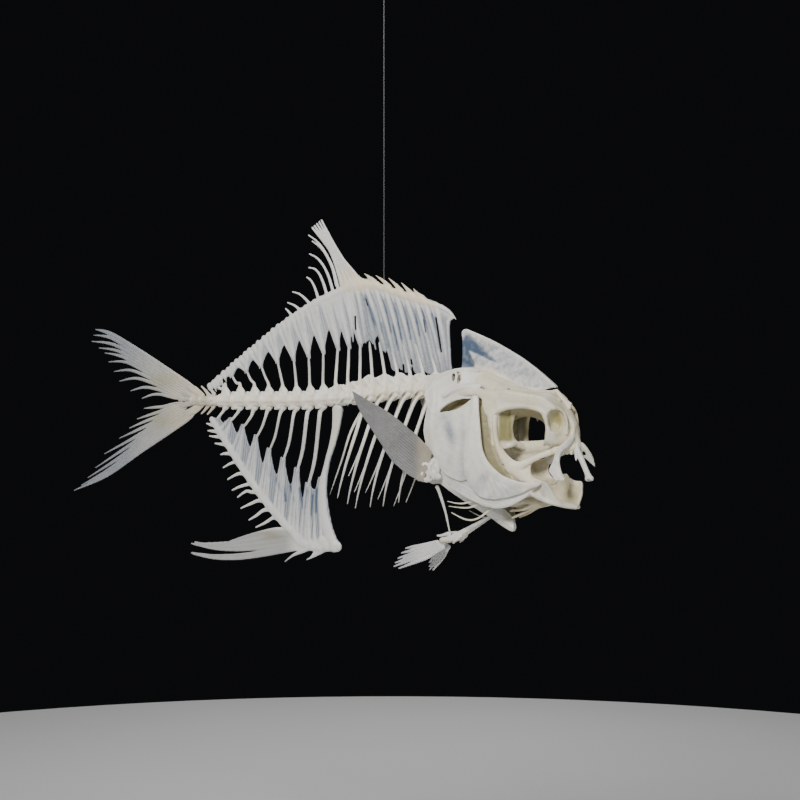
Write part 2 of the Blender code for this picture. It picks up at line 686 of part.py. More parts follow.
def premaxilla(name, side, frame):
    if side < 0:
        path = [(170, -2.6, -29, 1.9, 1.6), (170.6, -2.8, -36, 2.6, 1.9), (171.5, -3.4, -42, 1.8, 1.4),
                (176, -6, -49, 1.6, 1.3), (180.5, -8, -54, 2.0, 1.6), (183.5, -9, -57.5, 2.3, 1.7)]
    else:
        path = [(170, 1.8, -28, 1.7, 1.4), (172.5, 2.0, -33, 2.6, 1.6), (175, 3.2, -38, 2.4, 1.4),
                (176.5, 5.4, -43.5, 1.5, 1.1), (177, 7, -48.5, 0.6, 0.6)]
    bone(f"premaxilla_{name}", [rod(path, 2, 6)], BONE, frame)


def mandible(name, side, frame):
    """Half of the lower jaw. It hangs open and twisted, so its right edge lies lower than its left edge."""
    if side < 0:
        outline = [(136, -67), (137, -63.3), (142, -62.6), (146, -59.8), (150, -60.6), (154, -66), (160, -73),
                   (166, -77.3), (168.5, -80.5), (160, -79.3), (146, -74)]
    else:
        outline = [(136, -67), (137, -63.3), (141.5, -62.3), (144, -56), (149, -54), (158, -57), (167, -59.5),
                   (171.5, -68), (170.5, -78), (167.5, -80.5), (160, -79.3), (146, -74)]

    def face(x, lift):
        bend = [(136, 14.6), (146, 13.3), (156, 10.4), (163, 6.4), (168, 1.2), (170, 1.1)]
        return side * (between(x, bend) + lift)

    wall = plate(outline, lambda x, z: face(x, 0.8), lambda x, z: face(x, -0.6), 6.0, 1)
    bone(f"mandible_{name}", [wall], BONE, frame)


def on_both_sides(path, side):
    return [(x, side * y, z, half, thin) for x, y, z, half, thin in path]


def throat(frame):
    """The hyoid bars from the cheeks to the chin, each with two of the thin rays that fan under the gill."""
    bar = [(92, 14.5, -66, 2.2, 1.2), (104, 11.5, -72.5, 2.4, 1.3), (118, 7.5, -77.5, 2.2, 1.2),
           (134, 4, -78.5, 1.6, 1.1), (149, 0, -75, 1.5, 1.4)]
    upper_ray = [(108, 11.3, -73.5, 0.9, 0.6), (98, 16.6, -75.5, 0.8, 0.55), (85, 16.4, -80.5, 0.7, 0.5),
                 (69, 15.4, -80.3, 0.4, 0.4)]
    lower_ray = [(113, 9.3, -76.3, 0.9, 0.6), (107, 13.2, -77.5, 0.8, 0.6), (93, 13.8, -88.2, 0.8, 0.55),
                 (82, 13.6, -89.6, 0.7, 0.5), (69, 13.4, -85.3, 0.4, 0.4)]
    shapes = []
    for side in (-1, 1):
        shapes.append(rod(on_both_sides(bar, side), 1, 6))
        shapes.append(rod(on_both_sides(upper_ray, side), 1, 4))
        shapes.append(rod(on_both_sides(lower_ray, side), 1, 4))
    bone("hyoid_arch", shapes, YELLOW_BONE, frame)


# ---------------------------------------------------------------- girdles and paired fins
def shoulder(frame):
    strap = [(53, 15.5, 12, 2.6, 1.4), (58, 15, 18, 2.0, 1.2), (68, 13, 22.5, 1.7, 1.1),
             (79, 14.5, 22.3, 1.2, 0.9)]
    for name, side in (("right", -1), ("left", 1)):
        sheet = side_plate(CLEITHRUM, side, CLEITHRUM_LIFT, thick=1.3, narrow=meet_below)
        bone(f"shoulder_girdle_{name}", [sheet, rod(on_both_sides(strap, side), 1, 6)], BONE, frame)
        pectoral_fin(name, side, frame)

        # The left one is shorter, and ends behind the gill covers.
        post = [(60.3, 20, -66.3, 1.1, 0.9), (62.3, 15.8, -76, 1.1, 0.8), (64.2, 7.8, -100, 0.7, 0.6)]
        if side > 0:
            post = [(60.3, 20, -66.3, 1.1, 0.9), (61.2, 18.4, -71, 1.1, 0.8), (62.3, 15.8, -77, 0.7, 0.6)]
        bone(f"postcleithrum_{name}", [rod(on_both_sides(post, side), 2, 6)], BONE, frame)


def meet_below(z):
    """The two shoulder blades draw together under the throat."""
    return 1 - 0.86 * smooth((-66 - z) / 32)


def pectoral_fin(name, side, frame):
    knob = [(56, 27.5, -45, 3.2, 2.0), (57, 28.2, -52, 4.2, 2.6), (58, 27.2, -60, 3.0, 2.0)]
    outline = [(55, -44), (58, -51), (56, -60), (50, -61.5), (34, -52), (25, -39.5), (13, -15.5), (2.5, 6.5),
               (17, -4), (37, -18)]

    def face(x, lift):
        return side * (28.6 + 0.36 * (58 - x) + lift)

    blade = plate(outline, lambda x, z: face(x, 0.5), lambda x, z: face(x, -0.5), 12, 1)
    bone(f"pectoral_fin_{name}", [blade, rod(on_both_sides(knob, side), 2, 7)], BLADE_BONE, frame)


def pelvis(frame):
    long_bar = [(94, 1.7, -88.5, 1.2, 1.0), (80, 3.0, -96.5, 1.8, 1.3), (66, 3.6, -104.5, 2.6, 1.7),
                (55, 3.2, -107, 2.2, 2.0)]
    spur = [(66, 3, -103, 1.8, 1.4), (57, 1.5, -103.5, 1.4, 1.2), (50, 1.2, -104.4, 0.8, 0.8)]
    shapes = []
    for side in (-1, 1):
        shapes.append(rod(on_both_sides(long_bar, side), 1, 6))
        shapes.append(rod(on_both_sides(spur, side), 1, 6))
    bridge = rod([(62, -3.6, -104.6, 1.9, 1.6), (62, 3.6, -105, 2.0, 1.7)], 1, 6)
    bone("pelvic_girdle", shapes + [bridge], BONE, frame)
    for name, side in (("right", -1), ("left", 1)):
        rays = [
            ((51, -109), (37, -111), (20, -113.5)),
            ((53, -111), (35, -116), (14, -122)),
            ((55, -112.5), (38, -119), (12, -127.5)),
            ((57, -113), (42, -121), (17, -129.5)),
        ]
        if side > 0:
            rays = [(base, *[turned(p, base, FAR_PELVIC_TURN, FAR_PELVIC_SIZE) for p in (middle, tip)])
                    for base, middle, tip in rays]

        def face(x, lift, side=side):
            return side * (4.2 + 0.1 * (56 - x) + lift)

        blade = plate(fan(rays, 0.45), lambda x, z: face(x, 0.6), lambda x, z: face(x, -0.5), 9, 1)
        bone(f"pelvic_fin_{name}", [blade], BLADE_BONE, frame)


# ---------------------------------------------------------------- what it hangs from
def hanger(top):
    bpy.ops.mesh.primitive_cylinder_add(vertices=24, radius=PLATE_R * MM, depth=PLATE_H * MM,
                                        location=(0, 0, -PLATE_H / 2 * MM))
    plate_body = bpy.context.object
    plate_body.name = "hanger_plate"
    plate_body.data.materials.append(material(STEEL))

    stem_top, stem_foot = -PLATE_H - FIT_GAP, -HOOK_DROP + EYE_R + 0.2
    stem = rod([(0, 0, stem_top, 0.9, 0.9), (0, 0, stem_foot, 0.85, 0.85)], 1, 8)
    eye = ring(EYE_R, WIRE_R, (0, 0, -HOOK_DROP))
    bone("hanger_eye", [eye, stem], STEEL, top)

    # The line runs from under the eye to just above the ridge of the back.
    start = -HOOK_DROP - EYE_R - WIRE_R - FIT_GAP
    end = LINE_TIE_Z - AXIS_DROP + 1.2
    curve = bpy.data.curves.new("hanging_line", "CURVE")
    curve.dimensions = "3D"
    curve.bevel_depth = LINE_R * MM
    curve.bevel_resolution = 2
    curve.use_fill_caps = True
    line = curve.splines.new("POLY")
    line.points.add(LINE_STEPS)
    for i in range(LINE_STEPS + 1):
        line.points[i].co = (0, 0, mix(start, end, i / LINE_STEPS) * MM, 1)
    made = bpy.data.objects.new("hanging_line", curve)
    made.data.materials.append(material(NYLON))
    bpy.context.scene.collection.objects.link(made)


def ring(radius, thick, centre, around=16, sides=6):
    points, faces = [], []
    for i in range(around):
        a = 2 * math.pi * i / around
        for k in range(sides):
            b = 2 * math.pi * k / sides
            out = radius + thick * math.cos(b)
            off = (out * math.cos(a), thick * math.sin(b), out * math.sin(a))
            points.append(tuple(c + o for c, o in zip(centre, off)))
    for i in range(around):
        for k in range(sides):
            a, b = i * sides, ((i + 1) % around) * sides
            j = (k + 1) % sides
            faces.append((a + k, a + j, b + j, b + k))
    return points, faces


def main():
    clear_scene()
    top = bpy.data.objects.new("ceiling", None)
    bpy.context.scene.collection.objects.link(top)
    fish = bpy.data.objects.new("fish_frame", None)
    fish.location = (0, 0, -AXIS_DROP * MM)
    bpy.context.scene.collection.objects.link(fish)

    neurocranium(fish)
    crest(fish)
    face_bones(fish)
    throat(fish)
    shoulder(fish)
    pelvis(fish)
    column(fish)
    dorsal_fin(fish)
    anal_fin(fish)
    caudal_fin(fish)
    hanger(top)


main()
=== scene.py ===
# %% [markdown]
# # The skeleton of a snub-nosed pompano, hung on one clear line
#
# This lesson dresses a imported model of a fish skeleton. The real one is bone that has been cleaned, bleached
# and dried: chalky where it is thick, and like smoked glass where it is thin. Everything here is made by
# modelling in distance fields, which suits bone, because two bones that grow together are melted into each
# other by one sum.
#
# First the frame is loaded. Every piece made later stands in the same place as the solid that it replaces.

# %% The frame
import math
import time

import bmesh
import bpy
import numpy as np
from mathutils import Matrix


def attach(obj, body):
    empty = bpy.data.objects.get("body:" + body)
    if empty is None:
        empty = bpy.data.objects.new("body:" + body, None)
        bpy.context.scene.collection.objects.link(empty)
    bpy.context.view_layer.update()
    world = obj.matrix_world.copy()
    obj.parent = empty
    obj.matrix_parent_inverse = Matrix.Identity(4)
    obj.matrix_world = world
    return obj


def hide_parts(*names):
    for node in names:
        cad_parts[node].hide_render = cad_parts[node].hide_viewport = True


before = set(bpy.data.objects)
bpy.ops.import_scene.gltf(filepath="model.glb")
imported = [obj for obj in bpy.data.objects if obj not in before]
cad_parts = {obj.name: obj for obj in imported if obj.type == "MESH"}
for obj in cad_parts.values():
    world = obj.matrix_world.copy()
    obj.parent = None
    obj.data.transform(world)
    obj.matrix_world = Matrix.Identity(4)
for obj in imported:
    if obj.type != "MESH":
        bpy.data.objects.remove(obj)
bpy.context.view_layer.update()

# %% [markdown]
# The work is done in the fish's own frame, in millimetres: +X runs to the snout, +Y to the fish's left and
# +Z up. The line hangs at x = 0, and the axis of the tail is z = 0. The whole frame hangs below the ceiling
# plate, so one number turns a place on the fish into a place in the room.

import openvdb as vdb

MM = 0.001
AXIS_DROP = 330.0
started = time.time()


def smooth(t):
    t = np.clip(t, 0.0, 1.0)
    return t * t * (3 - 2 * t)


def mix(a, b, t):
    return a + (b - a) * t


def between(a, b, t):
    """A place on the way from one point to another."""
    return tuple(mix(p, q, t) for p, q in zip(a, b))


def read(table, place, spread=0.0):
    """Reads a table of (place, amount). A spread rounds off the table's corners."""
    spots, amounts = zip(*sorted(table))
    if not spread:
        return np.interp(place, spots, amounts)
    shifts = np.linspace(-spread, spread, 5)
    return sum(np.interp(place + shift, spots, amounts) for shift in shifts) / len(shifts)


def hump(away, width):
    """1 in the middle, and falling off smoothly on both sides of it."""
    return np.exp(-(away / width) ** 2)


def on_side(path, side):
    """A path on the fish's left, where y grows, or mirrored on its right."""
    return [(x, side * y, z, *sizes) for x, y, z, *sizes in path]


def spot(dx, wide, dz, tall):
    """A soft round spot in the plane of the fish."""
    return np.exp(-(dx / wide) ** 2 - (dz / tall) ** 2)


def wave(way, period):
    return np.cos(way * 2 * np.pi / period)


def curve_through(points, steps=6, closed=False):
    """A Catmull-Rom curve through points that may carry more than a place, such as a thickness."""
    points = np.array(points, float)
    count = len(points)
    spans = count if closed else count - 1
    made = []
    for i in range(spans):
        ends = [(i + k - 1) % count if closed else min(count - 1, max(0, i + k - 1)) for k in range(4)]
        a, b, c, d = points[ends]
        for t in np.arange(steps) / steps:
            bend = (2 * a - 5 * b + 4 * c - d) * t * t + (3 * b - a - 3 * c + d) * t ** 3
            made.append(0.5 * (2 * b + (c - a) * t + bend))
    if not closed:
        made.append(points[-1])
    return np.array(made)


# %% [markdown]
# ## The camera and the line
#
# The photograph was taken from ahead of the fish's right side, at the fish's own level. The foreshortening
# of the head gives the turn, and the sizes of the near and far bones give the distance.
#
# The line is a cord, so its route is a curve with the same points as the solid that it replaces. It goes
# straight down, because the fish hangs on it.

# %% The camera
CAMERA_TURN = math.radians(32.0)
CAMERA_DISTANCE = 1.25
AIM = (0.01481, 0.0, -AXIS_DROP * MM)
SEEN_WIDTH = 0.624
SENSOR = 36.0

lens = bpy.data.cameras.new("camera")
lens.sensor_width = SENSOR
lens.lens = SENSOR * CAMERA_DISTANCE / SEEN_WIDTH
camera = bpy.data.objects.new("camera", lens)
camera.location = (
    AIM[0] + CAMERA_DISTANCE * math.sin(CAMERA_TURN),
    AIM[1] - CAMERA_DISTANCE * math.cos(CAMERA_TURN),
    AIM[2],
)
camera.rotation_euler = (math.pi / 2, 0, CAMERA_TURN)
bpy.context.scene.collection.objects.link(camera)
bpy.context.scene.camera = camera
print("lens:", round(lens.lens, 1), "mm, camera at", [round(v, 3) for v in camera.location])

# %% The line
LINE_R = 0.45
LINE_STEPS = 12
LINE_TOP = -13.1
LINE_FOOT = 92.7 - AXIS_DROP


def wire(name, points, radius):
    """A round wire or line through points in the room, in millimetres."""
    route = bpy.data.curves.new(name, "CURVE")
    route.dimensions = "3D"
    # A point's own radius multiplies the bevel, and is also counted as part of the curve's box, so it stays
    # small.
    route.bevel_depth = radius
    route.bevel_resolution = 4
    route.use_fill_caps = True
    run = route.splines.new("POLY")
    run.points.add(len(points) - 1)
    for spot, point in zip(run.points, points):
        spot.co = (*(v * MM for v in point), 1)
        spot.radius = MM
    made = bpy.data.objects.new(name, route)
    bpy.context.scene.collection.objects.link(made)
    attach(made, "root")
    return made


line = wire("clear_line", [(0, 0, mix(LINE_TOP, LINE_FOOT, i / LINE_STEPS)) for i in range(LINE_STEPS + 1)],
            LINE_R)
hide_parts("hanging_line")
print("line:", round(LINE_TOP - LINE_FOOT, 1), "mm long")

# %% [markdown]
# ## Clay: bone as a distance field
#
# A bone could be a subdivided cage, or a boolean of many shapes, but both leave hard seams where a spine
# grows out of a vertebra. Here each bone is a block of small cells, and each cell holds its distance to the
# bone's surface: negative inside, positive outside. Two shapes are joined with `melt`, a minimum with a
# rounded corner, and a hole is cut in the same way with the signs turned. OpenVDB, which comes with Blender,
# then turns the field into a mesh with one clean skin, and no stray faces inside.
#
# Four shapes are enough for a whole fish: a tapering `rod`, a `loft` through ovals, a `ball` and a thin
# `sheet`.

# %% The block of cells
EMPTY = 6.0
MARGIN = 2.5
TABLE = 32
rng_table = np.random.default_rng(7).uniform(-1, 1, (TABLE,) * 3).astype(np.float32)


def melt(a, b, blend):
    """The smaller of two distances, with a rounded corner as wide as blend."""
    if blend <= 0:
        return np.minimum(a, b)
    h = np.clip(0.5 + 0.5 * (b - a) / blend, 0, 1)
    return b + (a - b) * h - blend * h * (1 - h)


def lumps(places, size, shift=0.0):
    """A smooth random number from -1 to 1 at each place, with lumps of the given size."""
    q = np.asarray(places, np.float32) / size + shift
    low = np.floor(q).astype(int)
    t = q - low
    t = t * t * (3 - 2 * t)
    total = np.zeros(len(q), np.float32)
    for corner in range(8):
        step = np.array([corner & 1, corner >> 1 & 1, corner >> 2 & 1])
        weight = np.prod(np.where(step == 1, t, 1 - t), axis=1)
        i, j, k = ((low + step) % TABLE).T
        total += weight * rng_table[i, j, k]
    return total


def line_distance(x, z, points):
    """Distance in the plane to an open line through points."""
    best = np.full(np.broadcast(x, z).shape, 1e9, np.float32)
    for (x0, z0), (x1, z1) in zip(points, points[1:]):
        ex, ez = x1 - x0, z1 - z0
        t = np.clip(((x - x0) * ex + (z - z0) * ez) / max(ex * ex + ez * ez, 1e-9), 0, 1)
        best = np.minimum(best, (x - x0 - t * ex) ** 2 + (z - z0 - t * ez) ** 2)
    return np.sqrt(best)


def edge_distance(x, z, ring):
    """Distance in the plane to a closed outline, negative inside it."""
    ring = np.concatenate([ring, ring[:1]])
    inside = np.zeros(np.broadcast(x, z).shape, bool)
    for (x0, z0), (x1, z1) in zip(ring, ring[1:]):
        if z0 != z1:
            inside ^= ((z0 > z) != (z1 > z)) & (x < x0 + (x1 - x0) * (z - z0) / (z1 - z0))
    return np.where(inside, -1, 1) * line_distance(x, z, ring)


class Clay:
    """A block of cells, each of which holds its distance to the bone's surface, in millimetres."""

    def __init__(self, low, high, cell=0.45):
        self.cell = cell
        self.low = np.array(low, float)
        count = np.ceil((np.array(high) - self.low) / cell).astype(int) + 1
        self.depth = np.full(count, EMPTY, np.float32)

    def window(self, low, high):
        """The cells between two corners: their slices, and their x, y and z."""
        low, high = np.asarray(low, float), np.asarray(high, float)
        first = np.clip(np.floor((low - self.low) / self.cell).astype(int), 0, None)
        last = np.minimum(np.ceil((high - self.low) / self.cell).astype(int) + 1, self.depth.shape)
        first = np.minimum(first, last)
        axes = [np.float32(self.low[k]) + self.cell * np.arange(first[k], last[k], dtype=np.float32)
                for k in range(3)]
        here = tuple(slice(a, b) for a, b in zip(first, last))
        return here, axes[0][:, None, None], axes[1][None, :, None], axes[2][None, None, :]

    def put(self, here, shape, blend, cut=False):
        """Melts a shape into the clay, or cuts it out."""
        sign = -1 if cut else 1
        self.depth[here] = sign * melt(sign * self.depth[here], shape, blend)

    def rod(self, path, blend=0.8, steps=5):
        """A tapering rod through (x, y, z, half-width, half-thickness). It is thin across the fish."""
        rings = curve_through(path, steps) if len(path) > 2 else np.array(path, float)
        rings[:, 3:] = np.maximum(rings[:, 3:], 0.2)
        margin = rings[:, 3:].max() + blend + 2.0
        low, high = rings[:, :3].min(0) - margin, rings[:, :3].max(0) + margin
        here, x, y, z = self.window(low, high)
        near = np.full((x.size, y.size, z.size), EMPTY, np.float32)
        if not near.size:
            return
        for a, b in zip(rings, rings[1:]):
            reach = max(a[3:].max(), b[3:].max()) + blend + 2.0
            part = []
            for axis, k in ((x, 0), (y, 1), (z, 2)):
                span = axis.ravel()
                part.append(slice(np.searchsorted(span, min(a[k], b[k]) - reach),
                                  np.searchsorted(span, max(a[k], b[k]) + reach)))
            px, py, pz = x[part[0]], y[:, part[1]], z[:, :, part[2]]
            wider = (a[3] + b[3]) / (a[4] + b[4])
            d = (b[:3] - a[:3]) * (1, wider, 1)
            ox, oy, oz = px - a[0], (py - a[1]) * wider, pz - a[2]
            t = np.clip((ox * d[0] + oy * d[1] + oz * d[2]) / max(d @ d, 1e-9), 0, 1)
            away = np.sqrt((ox - t * d[0]) ** 2 + (oy - t * d[1]) ** 2 + (oz - t * d[2]) ** 2)
            shape = (away - (a[3] + t * (b[3] - a[3]))) / max(1.0, wider ** 0.5)
            near[tuple(part)] = np.minimum(near[tuple(part)], shape)
        self.put(here, near, blend)

    def mid_rod(self, path, blend=0.8, steps=5):
        """A rod in the middle plane, through (x, z, half-width, half-thickness)."""
        self.rod([(x, 0, z, half, thin) for x, z, half, thin in path], blend, steps)

    def ray(self, path, halves, thins, blend, face=lambda x: 0, steps=5):
        """A rod through (x, z) that tapers evenly, at the y that face(x) gives."""
        count = len(path)
        self.rod([(x, face(x), z, half, thin) for (x, z), half, thin in
                  zip(path, np.linspace(*halves, count), np.linspace(*thins, count))], blend, steps)

    def ball(self, centre, radii, blend=1.0, cut=False):
        radii = np.array(radii)
        margin = blend + MARGIN
        here, x, y, z = self.window(np.array(centre) - radii - margin, np.array(centre) + radii + margin)
        size = np.sqrt(sum(((axis - c) / r) ** 2 for axis, c, r in zip((x, y, z), centre, radii)))
        self.put(here, (size - 1) * min(radii), blend, cut)

    def loft(self, sections, power=2.3, blend=1.0):
        """A body through ovals that stand across the fish: (x, middle z, half-height, half-width)."""
        rings = curve_through(sections, 8)
        rings = rings[np.argsort(rings[:, 0])]
        tall, wide = rings[:, 2].max() + blend + MARGIN, rings[:, 3].max() + blend + MARGIN
        here, x, y, z = self.window((rings[0, 0] - 3, -wide, rings[:, 1].min() - tall),
                                    (rings[-1, 0] + 3, wide, rings[:, 1].max() + tall))
        middle, half_high, half_wide = (np.interp(x, rings[:, 0], rings[:, k]) for k in (1, 2, 3))
        size = ((np.abs(y) / half_wide) ** power + (np.abs(z - middle) / half_high) ** power) ** (1 / power)
        shape = (size - 1) * np.minimum(half_high, half_wide)
        shape = -melt(-shape, -np.maximum(rings[0, 0] - x, x - rings[-1, 0]), 1.5)
        self.put(here, shape, blend)

    def sheet(self, outline, middle, half, rim=0.4, blend=0.6, steps=5, holes=()):
        """A thin bone. Its middle is a y or a rule for it, middle(x, z). Its half-thickness is a number or
        half(x, z, edge), where edge is the distance to its outline, negative inside it."""
        ring = curve_through(outline, steps, closed=True) if steps else np.array(outline, float)
        low, high = ring.min(0) - MARGIN, ring.max(0) + MARGIN
        _, x, _, z = self.window((low[0], -99, low[1]), (high[0], 99, high[1]))
        flat_x, flat_z = np.broadcast_arrays(x[:, 0, :], z[0])
        edge = edge_distance(flat_x, flat_z, ring)
        for hole in holes:
            edge = np.maximum(edge, -edge_distance(flat_x, flat_z, curve_through(hole, 4, closed=True)))
        place = np.ones_like(flat_x) * (middle(flat_x, flat_z) if callable(middle) else middle)
        thick = np.ones_like(flat_x) * (half(flat_x, flat_z, edge) if callable(half) else half)
        seen = place[edge < MARGIN]
        deep = float(thick.max()) + MARGIN
        here, x, y, z = self.window((low[0], seen.min() - deep, low[1]),
                                    (high[0], seen.max() + deep, high[1]))
        slope_x, slope_z = np.gradient(place, self.cell)
        lean = 1 / np.sqrt(1 + slope_x ** 2 + slope_z ** 2)
        through = np.abs(y - place[:, None, :]) * lean[:, None, :] - thick[:, None, :]
        a = through + rim
        b = (edge + rim)[:, None, :]
        shape = np.minimum(np.maximum(a, b), 0) + np.sqrt(np.maximum(a, 0) ** 2 + np.maximum(b, 0) ** 2) - rim
        self.put(here, shape, blend)

    def at(self, places):
        """The field at any places, from the nearest cells."""
        spot = np.clip(np.rint((places - self.low) / self.cell).astype(int), 0,
                       np.array(self.depth.shape) - 1)
        return self.depth[tuple(spot.T)]


# %% [markdown]
# ## From clay to bone
#
# A mesh from a field is even, but real bone is a little lumpy, so each point is then pushed along its normal
# by a smooth random number. Facts that only the field knows are kept on the points for the materials: one
# says how closed in a place is, and darkens the hollows with painted shade; `thin` says how little bone there
# is behind it, and `clear` where there is next to none. On the gill cover and the shoulder `thin`, and behind
# the eye `clear`, also carry painted shade. `warm` and `inner` are stains. Loose crumbs of mesh are thrown
# away.

# %% Hardening
TRIANGLES = {}
# How far off the bone its surroundings are felt, and how deep in open air a place there is when nothing is
# near.
PROBE, OPEN = 2.4, 2.2


def main_pieces(count, edges, smallest):
    """Marks the points that hang together in a piece with at least the smallest number of points."""
    label = np.arange(count)
    while True:
        low = np.minimum(label[edges[:, 0]], label[edges[:, 1]])
        new = label.copy()
        np.minimum.at(new, edges[:, 0], low)
        np.minimum.at(new, edges[:, 1], low)
        new = new[new]
        if np.array_equal(new, label):
            break
        label = new
    sizes = np.bincount(label, minlength=count)
    return sizes[label] >= smallest


def harden(clay, name, relief=0.05, lump=4.0, smallest=400, hollow_shading=1.0):
    """Turns clay into a mesh object in the room's frame. Its last number says how strongly painted shade
    darkens its hollows.
    """
    grid = vdb.FloatGrid(EMPTY)
    grid.copyFromArray(clay.depth, tolerance=0.0)
    spots, quads = grid.convertToQuads(0.0)
    quads = np.array(quads, np.int64)
    places = clay.low + np.array(spots, float) * clay.cell
    edges = np.concatenate([quads[:, [k, (k + 1) % 4]] for k in range(4)])
    kept = main_pieces(len(places), edges, smallest)
    number = np.cumsum(kept) - 1
    quads = number[quads[kept[quads[:, 0]]]]
    places = places[kept]
    normals = np.zeros_like(places)
    across = np.cross(places[quads[:, 2]] - places[quads[:, 0]], places[quads[:, 3]] - places[quads[:, 1]])
    for k in range(4):
        np.add.at(normals, quads[:, k], across)
    normals /= np.maximum(np.linalg.norm(normals, axis=1), 1e-9)[:, None]
    # How closed in each point is. The material turns this into painted shade in the hollows.
    hollow = 1 - clay.at(places + normals * PROBE) / OPEN
    push = relief * (lumps(places, lump) + 0.5 * lumps(places, lump * 0.37, 5.0))
    piece = Piece(name, places + normals * push[:, None], quads, normals)
    piece.paint(hollow=smooth(hollow_shading * hollow))
    return piece


class Piece:
    """A bone as a mesh in the room's frame, with its points kept in the fish's own."""

    def __init__(self, name, places, quads, normals):
        self.name, self.places, self.quads, self.normals = name, places, quads, normals
        self.xyz = places.T
        self.facts = {}
        mesh = bpy.data.meshes.new(name)
        mesh.vertices.add(len(places))
        mesh.loops.add(4 * len(quads))
        mesh.polygons.add(len(quads))
        room = (places - (0, 0, AXIS_DROP)) * MM
        mesh.vertices.foreach_set("co", room.astype(np.float32).ravel())
        mesh.loops.foreach_set("vertex_index", quads.astype(np.int32).ravel())
        mesh.polygons.foreach_set("loop_start", np.arange(0, 4 * len(quads), 4, dtype=np.int32))
        mesh.update(calc_edges=True)
        mesh.shade_smooth()
        self.made = bpy.data.objects.new(name, mesh)
        bpy.context.scene.collection.objects.link(self.made)
        TRIANGLES[name] = 2 * len(quads)

    def paint(self, **facts):
        """Keeps numbers from 0 to 1 on the points, for the material to read."""
        layers = self.made.data.attributes
        for fact, amount in facts.items():
            amount = np.clip(np.broadcast_to(amount, len(self.places)), 0, 1).astype(np.float32)
            layer = layers.get(fact) or layers.new(fact, "FLOAT", "POINT")
            layer.data.foreach_set("value", amount)
            self.facts[fact] = amount

    def settle(self, finish, slot, *nodes):
        """Gives the piece its material, and tells the frame what it rides on and stands for."""
        self.made.data.materials.append(finish)
        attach(self.made, "root")
        if nodes:
            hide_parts(*nodes)
        print(f"{self.name}: {TRIANGLES[self.name]} triangles, {time.time() - started:.1f} s")

    def settle_both(self, finish, slot, *node):
        """Settles a piece of the right side, and its mirror image on the left."""
        self.settle(finish, slot, *[name + "_right" for name in node])
        flip = (1, -1, 1)
        twin = Piece(self.name.replace("right", "left"), self.places * flip, self.quads[:, ::-1],
                     self.normals * flip)
        twin.paint(**self.facts)
        twin.settle(finish, slot, *[name + "_left" for name in node])


# %% [markdown]
# ## Bone as a material
#
# Shader maths reads best as maths, so a small class wraps one output of a node and gives it the usual
# operators. A second class is the bench that a material is built on: it adds nodes, mixes colours and ends
# in one Principled shader.

# %% Wires and the bench
class Wire:
    """One output of a material's nodes. A sum on it adds a Math node."""

    def __init__(self, bench, socket):
        self.bench = bench
        self.socket = socket

    def sum(self, operation, first, second):
        return self.bench.node("ShaderNodeMath", {"operation": operation}, {0: first, 1: second})

    def __add__(self, other):
        return self.sum("ADD", self, other)

    def __sub__(self, other):
        return self.sum("SUBTRACT", self, other)

    def __rsub__(self, other):
        return self.sum("SUBTRACT", other, self)

    def __mul__(self, other):
        return self.sum("MULTIPLY", self, other)

    __radd__ = __add__
    __rmul__ = __mul__

    def step(self, low, high):
        """0 below low, 1 above high, and smooth between them."""
        settings = {"interpolation_type": "SMOOTHSTEP"}
        return self.bench.node("ShaderNodeMapRange", settings,
                               {"Value": self, "From Min": low, "From Max": high})


class Bench:
    """A material being built."""

    def __init__(self, name):
        self.material = bpy.data.materials.new(name)
        self.material.use_nodes = True
        self.tree = self.material.node_tree
        self.shader = self.tree.nodes["Principled BSDF"]

    def node(self, kind, settings, sockets, out=0):
        made = self.tree.nodes.new(kind)
        for setting, value in settings.items():
            setattr(made, setting, value)
        for socket, value in sockets.items():
            self.set(made.inputs[socket], value)
        return Wire(self, made.outputs[out])

    def set(self, socket, value):
        if isinstance(value, Wire):
            self.tree.links.new(value.socket, socket)
        else:
            socket.default_value = value

    def blend(self, amount, first, second):
        """The first colour where amount is 0, and the second where it is 1."""
        colours = [c if isinstance(c, Wire) else (*c, 1.0) for c in (first, second)]
        return self.node("ShaderNodeMix", {"data_type": "RGBA"}, {0: amount, 6: colours[0], 7: colours[1]}, 2)

    def fact(self, name):
        """A number that was painted on the points."""
        return self.node("ShaderNodeAttribute", {"attribute_name": name}, {}, "Fac")

    def noise(self, scale, detail, roughness):
        place = self.node("ShaderNodeTexCoord", {}, {}, "Object")
        sockets = {"Vector": place, "Scale": scale, "Detail": detail, "Roughness": roughness}
        return self.node("ShaderNodeTexNoise", {}, sockets)

    def finish(self, constants, **varying):
        for socket, value in constants.items():
            self.shader.inputs[socket].default_value = value
        for socket, value in varying.items():
            self.set(self.shader.inputs[socket.replace("_", " ")], value)
        return self.material


# %% [markdown]
# Dry fish bone is never one colour. Thick bone is ivory, sheets with nothing behind them look blue-grey,
# cartilage and old fat stain it peach or olive, and fine dust speckles it. The hollows are darkened with
# painted shade, and some of the blue-grey on the gill cover and the shoulder, and the dark blue behind the
# eye, are painted shade as well. Each of these is a mask, painted on the points or drawn from noise, and the
# masks are mixed one over the other.

# %% The bone finishes
IVORY = (0.82, 0.785, 0.70)
CHALK = (0.89, 0.88, 0.84)
GLASS = (0.24, 0.27, 0.32)
NIGHT = (0.075, 0.115, 0.19)
PEACH = (0.85, 0.72, 0.49)
OLIVE = (0.30, 0.255, 0.06)
# Grey-brown for fine dust specks, and for the painted shade in the hollows.
DUST_AND_SHADE = (0.42, 0.38, 0.31)


